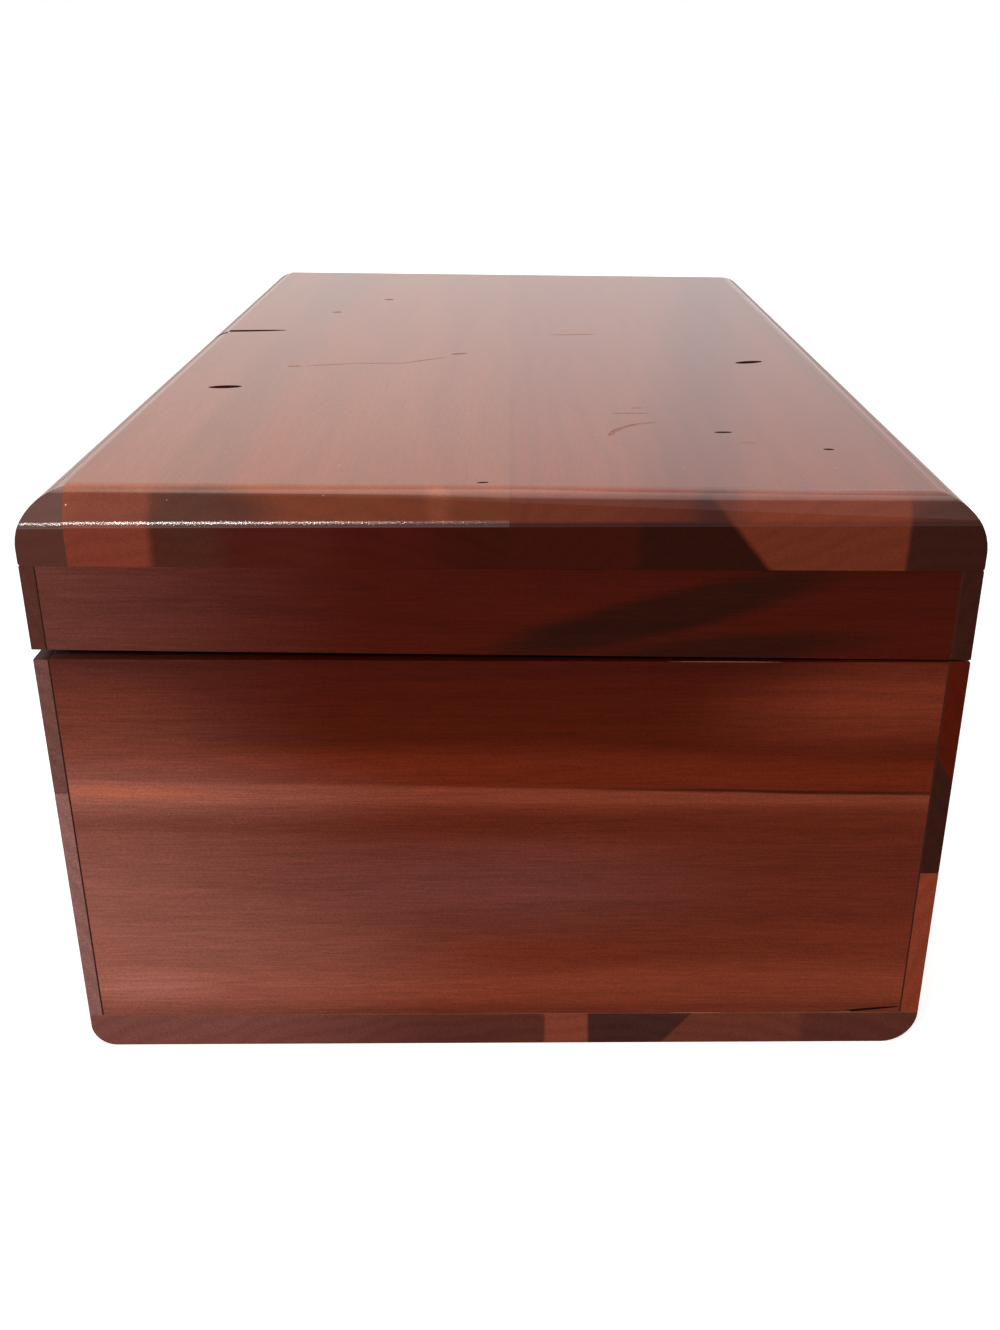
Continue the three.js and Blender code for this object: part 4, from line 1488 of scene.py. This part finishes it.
    def mortise(self, board: Piece, bare: Material) -> None:
        """Cuts the lock's mortise and the keyhole into a front board.

        Args:
            board: the board to cut.
            bare: the finish of the cut wood.
        """
        foot = self.top - self.height - self.fit
        face = self.inner - self.depth - self.fit
        plate, case = self.half_plate + self.fit, self.half_case + self.fit
        back, over = self.inner + 2, self.top + 2
        carve(board, [
            bar("plate_room", (-plate, self.inner - self.sheet, foot), (plate, back, over)),
            bar("edge_room", (-plate, face, self.top - self.sheet), (plate, back, over)),
            bar("case_room", (-case, face, foot), (case, back, over)),
            self.keyhole(), *self.screw_holes("chest"), *self.pin_holes()], bare)

    def strike_mortise(self, rail: Piece, bare: Material) -> None:
        """Lets the strike plate into the front rail of the lid.

        Args:
            rail: the rail to cut.
            bare: the finish of the cut wood.
        """
        wide, deep = (half + self.fit for half in self.strike_half)
        room = bar("strike_room", (-wide, self.middle - deep, self.strike_face - 3),
                   (wide, self.middle + deep, self.strike_face + self.strike_thickness))
        carve(rail, [room, *self.screw_holes("lid")], bare)


# Wooden pieces

@dataclass(frozen=True)
class Dent:
    """A mark that something hard pressed into the top, from one end to the other, in mm."""

    start: Pair
    end: Pair
    width: float
    depth: float

    def cutter(self, height: float) -> Piece:
        """Makes the pebble that presses the mark.

        Args:
            height: where the wood's face lies, in metres.

        Returns:
            The cutter.
        """
        (x0, y0), (x1, y1) = self.start, self.end
        length = math.hypot(x1 - x0, y1 - y0)
        turn = math.degrees(math.atan2(y1 - y0, x1 - x0))
        centre = ((x0 + x1) / 2 * MM, (y0 + y1) / 2 * MM, height)
        return pebble("dent", centre, (length / 2 * MM, self.width / 2 * MM, self.depth * MM), turn)


TOP_DENTS = (
    Dent((-12.0, -62.6), (-14.9, -44.2), 2.2, 3.5),
    Dent((46.1, -49.3), (44.9, -43.9), 2.6, 0.8),
    Dent((18.3, 41.6), (15.9, 46.9), 2.4, 0.7),
    Dent((77.4, 30.6), (77.2, 33.4), 1.1, 0.22),
    Dent((88.0, 44.9), (88.0, 46.5), 1.0, 0.2),
    Dent((108.8, -3.8), (108.4, -2.2), 0.7, 0.2),
)
TOP_SCUFFS = (
    Dent((80.4, 15.0), (77.6, 15.7), 1.0, 0.14),
    Dent((78.2, 15.4), (74.4, 17.4), 1.1, 0.16),
    Dent((75.0, 17.0), (71.6, 20.0), 1.0, 0.13),
    Dent((72.6, 19.0), (70.6, 22.6), 0.7, 0.08),
    Dent((64.3, 16.0), (64.0, 22.2), 0.7, 0.12),
    Dent((60.2, 19.6), (59.8, 21.4), 0.7, 0.1),
    Dent((84.4, 33.6), (84.2, 36.2), 0.6, 0.08),
    Dent((25.9, -39.0), (25.6, -36.4), 1.0, 0.1),
    Dent((25.4, -36.0), (21.9, -26.0), 0.6, 0.05),
    Dent((22.4, -27.0), (21.6, -18.0), 0.6, 0.05),
    Dent((21.8, -19.0), (14.6, -11.0), 0.6, 0.05),
    Dent((12.0, -10.6), (10.2, -7.6), 1.4, 0.1),
    Dent((-12.0, 8.0), (-14.0, 18.0), 0.8, 0.05),
    Dent((-40.0, -38.0), (-41.0, -36.0), 1.6, 0.1),
    Dent((-60.0, -28.0), (-62.0, -26.6), 2.0, 0.1),
)


@dataclass(frozen=True)
class Nick:
    """A mark in the face of the right end wall: its middle, half sizes and tip, in mm and degrees."""

    y: float
    z: float
    size: Triple
    proud: float = 0.0
    tip: float = 0.0

    def cutter(self, face: float) -> Piece:
        """Makes the pebble that leaves the mark.

        Args:
            face: where the wood's face lies, in metres.

        Returns:
            The cutter.
        """
        place = (face + self.proud * MM, self.y * MM, self.z * MM)
        return pebble("nick", place, Vector(self.size) * MM, tip=self.tip)


# The open crack under the end wall and the split at its right
CRACKS = (
    Nick(53.4, 5.85, (0.9, 5.6, 0.2), tip=5.4),
    Nick(50.0, 5.35, (0.7, 9.5, 0.16)),
)
# Where the end wall's upper and lower arris lost splinters
CHIPS = (
    Nick(29.0, 61.23, (0.16, 13.5, 0.11), proud=0.05),
    Nick(28.2, 5.34, (0.2, 4.4, 0.13), proud=0.05),
    Nick(43.6, 5.34, (0.2, 2.6, 0.12), proud=0.05),
    Nick(48.2, 5.36, (0.22, 1.6, 0.14), proud=0.05),
)


# A board's finishes by number: lacquer, bare wood, and the polish in its joints or, on the top,
# the wax, the roll over to the end, the slope below and its lower arris
OUTSIDE, INSIDE, JOINT = range(3)
TOP, ROLL, SLOPE, ARRIS = range(2, 6)


def clothe(board: Piece, seam: Material) -> Material:
    """Finishes a board: lacquer outside, wax on the top, bare wood inside, polish in its joints.

    Args:
        board: the board.
        seam: the old polish in the joints.

    Returns:
        The finish of its bare wood, for what is cut into it afterwards.
    """
    node = board.name.removeprefix("cedar_")
    lay = FIGURES[node].lay
    is_top = node.startswith("lid_top")

    def choose(middle: Vector, normal: Vector) -> int:
        """Picks a face's finish.

        Args:
            middle: the face's middle.
            normal: its normal.

        Returns:
            The number of the finish.
        """
        if min(abs(normal.x), abs(normal.y)) > 0.2:
            if lay is Lay.END_WALL or lay is Lay.LONG_WALL and normal.y * middle.y < 0:
                return JOINT
        for axis in range(2):
            if abs(normal[axis]) > 0.8 and normal[axis] * middle[axis] < 0:
                return INSIDE
        if normal.z < -0.8 and is_top or normal.z > 0.8 and node == "bottom_board":
            return INSIDE
        if is_top and normal.z > 0.06 and abs(normal.x) > 0.1:
            if normal.z > 0.6:
                return ROLL
            return SLOPE if normal.z > 0.48 else ARRIS
        return TOP if is_top and normal.z > 0.93 else OUTSIDE

    bare, lacquered = (Cedar(node, coat).finish() for coat in (BARE, LACQUERED))
    finishes = [lacquered, bare]
    if is_top:
        arris = RUBBED if node == "lid_top_back_board" else POLISHED
        finishes += [Cedar(node, coat).finish() for coat in (WAXED, HANDLED, RUBBED, arris)]
    else:
        finishes.append(seam)
    dress(board, finishes, choose)
    return bare


def slab_of(node: str) -> tuple[Piece, Vector, Vector]:
    """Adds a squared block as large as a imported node, named for it.

    Args:
        node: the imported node.

    Returns:
        The block, and the node's lowest and highest corner.
    """
    low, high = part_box(node)
    return block(f"cedar_{node}", low, high), low, high


@dataclass(frozen=True)
class Joinery:
    """How the long boards of box and lid take the end boards between them, in mm."""

    front_lip: float = 2.0
    back_lip: float = 2.8
    wall: float = 9.5
    eased: float = 0.12

    def board(self, node: str) -> Piece:
        """Makes a board of the walls or the rim, with a rabbet at both ends if it is a long one.

        Args:
            node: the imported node.

        Returns:
            The board, its arrises still sharp.
        """
        board, low, high = slab_of(node)
        if FIGURES[node].lay is Lay.LONG_WALL:
            if low.y < 0:
                inner = (low.y + self.front_lip * MM, high.y + OVERRUN)
            else:
                inner = (low.y - OVERRUN, high.y - self.back_lip * MM)
            wall = self.wall * MM
            for x0, x1 in ((low.x - OVERRUN, low.x + wall), (high.x - wall, high.x + OVERRUN)):
                work(board, block("rabbet", (x0, inner[0], low.z - OVERRUN),
                                  (x1, inner[1], high.z + OVERRUN)))
        return board


@dataclass
class Carcass:
    """The box below the lid: a bottom board and four walls of glued-up boards, sizes in mm."""

    joinery: Joinery = Joinery()
    front_radius: float = 3.5
    back_radius: float = 5.2

    def build(self, lock: BoxLock, hinges: StopHinge, fillings: Fillings) -> None:
        """Builds, dresses and cuts the boards of the box.

        Args:
            lock: the lock that the front wall takes.
            hinges: the hinges that the back wall takes.
            fillings: what fills its cracks and joints.
        """
        bottom = self.bottom()
        clothe(bottom, fillings.seam)
        fit(bottom, "chest", "cedar_bottom", ["bottom_board"])
        for node in ("front_wall_lower_board", "front_wall_upper_board", "back_wall_lower_board",
                     "back_wall_upper_board", "right_end_wall", "left_end_wall"):
            board = self.joinery.board(node)
            ease(board, self.joinery.eased * MM)
            bare = clothe(board, fillings.seam)
            if node.startswith("front"):
                lock.mortise(board, bare)
            elif node == "back_wall_upper_board":
                hinges.mortise(board, Leaf.BOX, bare)
            elif node == "right_end_wall":
                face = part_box(node)[1].x
                # the cracks are lined with the almost black filling, which paints the shade inside
                # them
                carve(board, (crack.cutter(face) for crack in CRACKS), fillings.dirt_and_shade)
                carve(board, (chip.cutter(face) for chip in CHIPS), bare)
            fit(board, "chest", "cedar_wall", [node])

    def bottom(self) -> Piece:
        """Makes the bottom board, its long lower edges rounded.

        Returns:
            The board.
        """
        board, low, high = slab_of("bottom_board")
        across, down = Vector((0, 1, 0)), Vector((0, 0, -1))
        for side, edge, radius in ((-1, low.y, self.front_radius), (1, high.y, self.back_radius)):
            reach = radius * MM
            plane_round(board, (0, edge - side * reach, low.z + reach), (reach, reach),
                        across * side, down, (0, 90), 9)
        ease(board, self.joinery.eased * MM, 2, 50)
        return board


@dataclass
class Lid:
    """The lid: a rim of four rails, sawn off the box, under a top of three boards; sizes in mm."""

    joinery: Joinery = Joinery()
    front_gap: float = 1.3
    back_gap: float = 0.3
    long_radius: float = 7.5
    end_fall: float = 4.25
    end_round: Pair = (3.6, 2.4)
    end_slope: float = 31.0
    end_arris: float = 1.8
    end_lean: float = 0.009
    lower_round: float = 0.45

    def build(self, lock: BoxLock, hinges: StopHinge, fillings: Fillings) -> None:
        """Builds, dresses and cuts the rails and the boards of the top.

        Args:
            lock: the lock whose strike plate the front rail takes.
            hinges: the hinges that the back rail takes.
            fillings: what fills its dents, scratches and joints.
        """
        for node in ("lid_front_rail", "lid_back_rail", "lid_right_rail", "lid_left_rail"):
            rail = self.joinery.board(node)
            self.part(rail)
            ease(rail, self.joinery.eased * MM, 2, 20)
            bare = clothe(rail, fillings.seam)
            if node == "lid_front_rail":
                lock.strike_mortise(rail, bare)
            elif node == "lid_back_rail":
                hinges.mortise(rail, Leaf.LID, bare)
            fit(rail, "lid", "cedar_rim", [node])
        for node in ("lid_top_front_strip", "lid_top_middle_board", "lid_top_back_board"):
            board = self.top_board(node)
            clothe(board, fillings.seam)
            # the dents and scratches get fillings that paint their shade along with polish and dirt
            self.dent(board, node, TOP_DENTS, fillings.dirt_and_shade)
            self.dent(board, node, TOP_SCUFFS, fillings.scuff_and_shade)
            fit(board, "lid", "cedar_top", [node])

    def part(self, rail: Piece) -> None:
        """Saws a rail's lower edge to the slope of the parting gap."""
        low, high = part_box("bottom_board")
        body_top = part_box("right_end_wall")[1].z
        slope = Vector((0, high.y - low.y, (self.back_gap - self.front_gap) * MM))
        outwards = slope.cross(Vector((1, 0, 0)))
        saw(rail, (0, low.y, body_top + self.front_gap * MM), outwards)

    def top_board(self, node: str) -> Piece:
        """Makes a board of the top: long outer edge rounded, ends rounded steeply.

        Args:
            node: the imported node.

        Returns:
            The board.
        """
        board, low, high = slab_of(node)
        whole_low, whole_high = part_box("bottom_board")
        along, across, up = Vector((1, 0, 0)), Vector((0, 1, 0)), Vector((0, 0, 1))
        radius = self.long_radius * MM
        for side, edge, whole in ((-1, low.y, whole_low.y), (1, high.y, whole_high.y)):
            if abs(edge - whole) < NEAR:
                plane_round(board, (0, whole - side * radius, high.z - radius), (radius, radius),
                            across * side, up, (0, 90), 14)
        cosine, sine = (turn(math.radians(self.end_slope)) for turn in (math.cos, math.sin))
        long, tall = (size * MM for size in self.end_round)
        arris, fall = self.end_arris * MM, self.end_fall * MM
        # the slope touches both roundings, so the upper one starts this far in from the end
        reach = (fall * sine - arris * (1 - cosine) - tall * sine
                 + math.hypot(long * cosine, tall * sine)) / cosine
        leaning = up - across * self.end_lean
        # the facets keep a few degrees off the faces that they run into
        first = math.degrees(math.atan2(sine * tall, cosine * long)) + 3
        for side, end in ((-1, low.x), (1, high.x)):
            outwards = along * side
            touch = Vector((end - side * arris * (1 - cosine), 0, high.z - fall + arris * sine))
            saw(board, touch, outwards * cosine + leaning * sine)
            plane_round(board, (end - side * reach, 0, high.z - tall), (long, tall), outwards, up,
                        (first, 88), 9)
            plane_round(board, (end - side * arris, 0, high.z - fall), (arris, arris), outwards,
                        leaning, (2, self.end_slope - 2), 6)
        round_edges(board, lambda a, b: a.z + b.z < 2 * low.z + NEAR
                    and abs(a.y + b.y) / 2 > whole_high.y - NEAR, self.lower_round * MM, 4)
        return board

    def dent(self, board: Piece, node: str, marks: Sequence[Dent], finish: Material) -> None:
        """Presses those of the marks into a board of the top that lie on it.

        Args:
            board: the board.
            node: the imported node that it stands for.
            marks: the marks of the whole top.
            finish: the finish inside them.
        """
        low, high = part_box(node)
        for mark in marks:
            first, last = sorted((mark.start[1] * MM, mark.end[1] * MM))
            if last > low.y and first < high.y:
                carve(board, [mark.cutter(high.z)], finish)


# Studio

@dataclass
class Studio:
    """A pale floor, a white room, a soft key lamp and the camera at the photograph's place, in mm."""

    camera_place: Triple = (301.184, 0.822, 130.496)
    pitch: float = 27.947
    yaw: float = 2.053
    roll: float = 0.918
    focal_pixels: float = 1491.446
    centre_pixels: Pair = (560.0, 860.0)
    photo_pixels: tuple[int, int] = (1000, 1330)
    sensor: float = 36.0
    room_light: float = 0.55

    def build(self) -> None:
        """Sets up the camera, the floor, the room and the lamps."""
        self.camera()
        self.floor()
        self.room()
        self.lamp("key_lamp", place=(500, -150, 290), aim=(100, -8, 45), size=(48, 64), power=1.5,
                  tint=(1.0, 0.92, 0.84))
        self.lamp("top_lamp", place=(-60, 60, 620), aim=(0, 0, 80), size=(500, 400), power=1.6)
        bpy.context.scene.view_settings.view_transform = "Standard"

    def camera(self) -> None:
        """Stands the camera where the photographer held it."""
        pitch, yaw, roll = (math.radians(turn) for turn in (self.pitch, self.yaw, self.roll))
        ahead = Vector((-math.cos(pitch) * math.cos(yaw), math.cos(pitch) * math.sin(yaw),
                        -math.sin(pitch)))
        level = Vector((math.sin(yaw), math.cos(yaw), 0))
        upright = level.cross(ahead)
        right = math.cos(roll) * level + math.sin(roll) * upright
        up = math.cos(roll) * upright - math.sin(roll) * level
        place = Matrix((right, up, -ahead)).transposed().to_4x4()
        place.translation = Vector(self.camera_place) * MM
        wide, high = self.photo_pixels
        data = bpy.data.cameras.new("photograph")
        data.sensor_width = self.sensor
        data.lens = self.focal_pixels * self.sensor / high
        data.shift_x = (wide / 2 - self.centre_pixels[0]) / high
        data.shift_y = (self.centre_pixels[1] - high / 2) / high
        data.clip_start, data.clip_end = 10 * MM, 20.0
        camera = bpy.data.objects.new("photograph", data)
        camera.matrix_world = place
        bpy.context.scene.collection.objects.link(camera)
        bpy.context.scene.camera = camera

    def floor(self) -> None:
        """Lays a plain white floor that keeps the chest's soft shadow."""
        deselect()
        bpy.ops.mesh.primitive_plane_add(size=8, location=(0, 0, 0))
        floor = name_new("studio_floor")
        material, add = new_material("white_paper")
        place = add("TexCoord", out="Object")
        away = add("VectorMath", {0: place}, out="Value", operation="LENGTH")
        far = add("MapRange", {"Value": away, "From Min": 0.2, "From Max": 0.7}, **SOFT)
        glow = add("MapRange", {"Value": far, "To Min": 0.62, "To Max": 1.0})
        strength = add("Math", {0: self.seen(add), 1: glow}, operation="MULTIPLY")
        paper = add("BsdfDiffuse", {"Color": colour("d8d6d4")})
        light = add("Emission", {"Color": WHITE, "Strength": strength})
        both = add("AddShader", {0: paper, 1: light})
        add("OutputMaterial", {"Surface": both})
        dress(floor, [material])

    def room(self) -> None:
        """Surrounds the chest with a white room, softer as a light than as a background."""
        world = bpy.data.worlds.new("white_room")
        bpy.context.scene.world = world
        world.use_nodes = True
        world.node_tree.nodes.clear()
        add = partial(add_node, world.node_tree)
        strength = add("MapRange", {"Value": self.seen(add), "To Min": self.room_light,
                                    "To Max": 1.0})
        light = add("Background", {"Color": WHITE, "Strength": strength})
        add("OutputWorld", {"Surface": light})

    def seen(self, add: Callable[..., Socket]) -> Socket:
        """Tells what is looked at or mirrored, 1, from what only lights the chest, 0.

        Args:
            add: add_node for the tree that asks.

        Returns:
            The share.
        """
        path = add("LightPath").node.outputs
        seen = add("Math", {0: path["Is Camera Ray"], 1: path["Is Glossy Ray"]},
                   operation="MAXIMUM")
        return add("Math", {0: seen, 1: path["Is Transmission Ray"]}, operation="MAXIMUM")

    def lamp(self, name: str, place: Sequence[float], aim: Sequence[float], size: Pair,
             power: float, tint: Triple = (1.0, 1.0, 1.0)) -> None:
        """Hangs a soft rectangular lamp.

        Args:
            name: its name.
            place: its middle, in mm.
            aim: what it points at, in mm.
            size: its width and height, in mm.
            power: its power in watts.
            tint: the colour of its light.
        """
        data = bpy.data.lights.new(name, "AREA")
        data.shape = "RECTANGLE"
        data.size, data.size_y = (side * MM for side in size)
        data.energy = power
        data.color = tint
        lamp = bpy.data.objects.new(name, data)
        towards = Vector(aim) - Vector(place)
        lamp.matrix_world = Matrix.Translation(Vector(place) * MM) @ (
            towards.to_track_quat("-Z", "Y").to_matrix().to_4x4())
        bpy.context.scene.collection.objects.link(lamp)


def main() -> None:
    """Builds the chest, dresses it and sets the stage."""
    logging.basicConfig(level=logging.INFO, format="%(message)s")
    Studio().build()
    brass, steel = BRASS.finish(), STEEL.finish()
    fillings = Fillings(DIRT_AND_SHADE.finish(), SCUFF_AND_SHADE.finish(), SEAM.finish())
    lock, hinges = BoxLock(), StopHinge()
    Carcass().build(lock, hinges, fillings)
    Lid().build(lock, hinges, fillings)
    hinges.build(brass)
    lock.build(brass)
    for name, metal in (("lock_cap", brass), ("lock_bolt", brass), ("lock_spring", steel),
                        ("lock_key_post", steel)):
        node = frame["nodes"][name]
        node.data.materials.clear()
        node.data.materials.append(metal)
        LOG.info("%s keeps its packed shape", name)


if __name__ == "__main__":
    main()
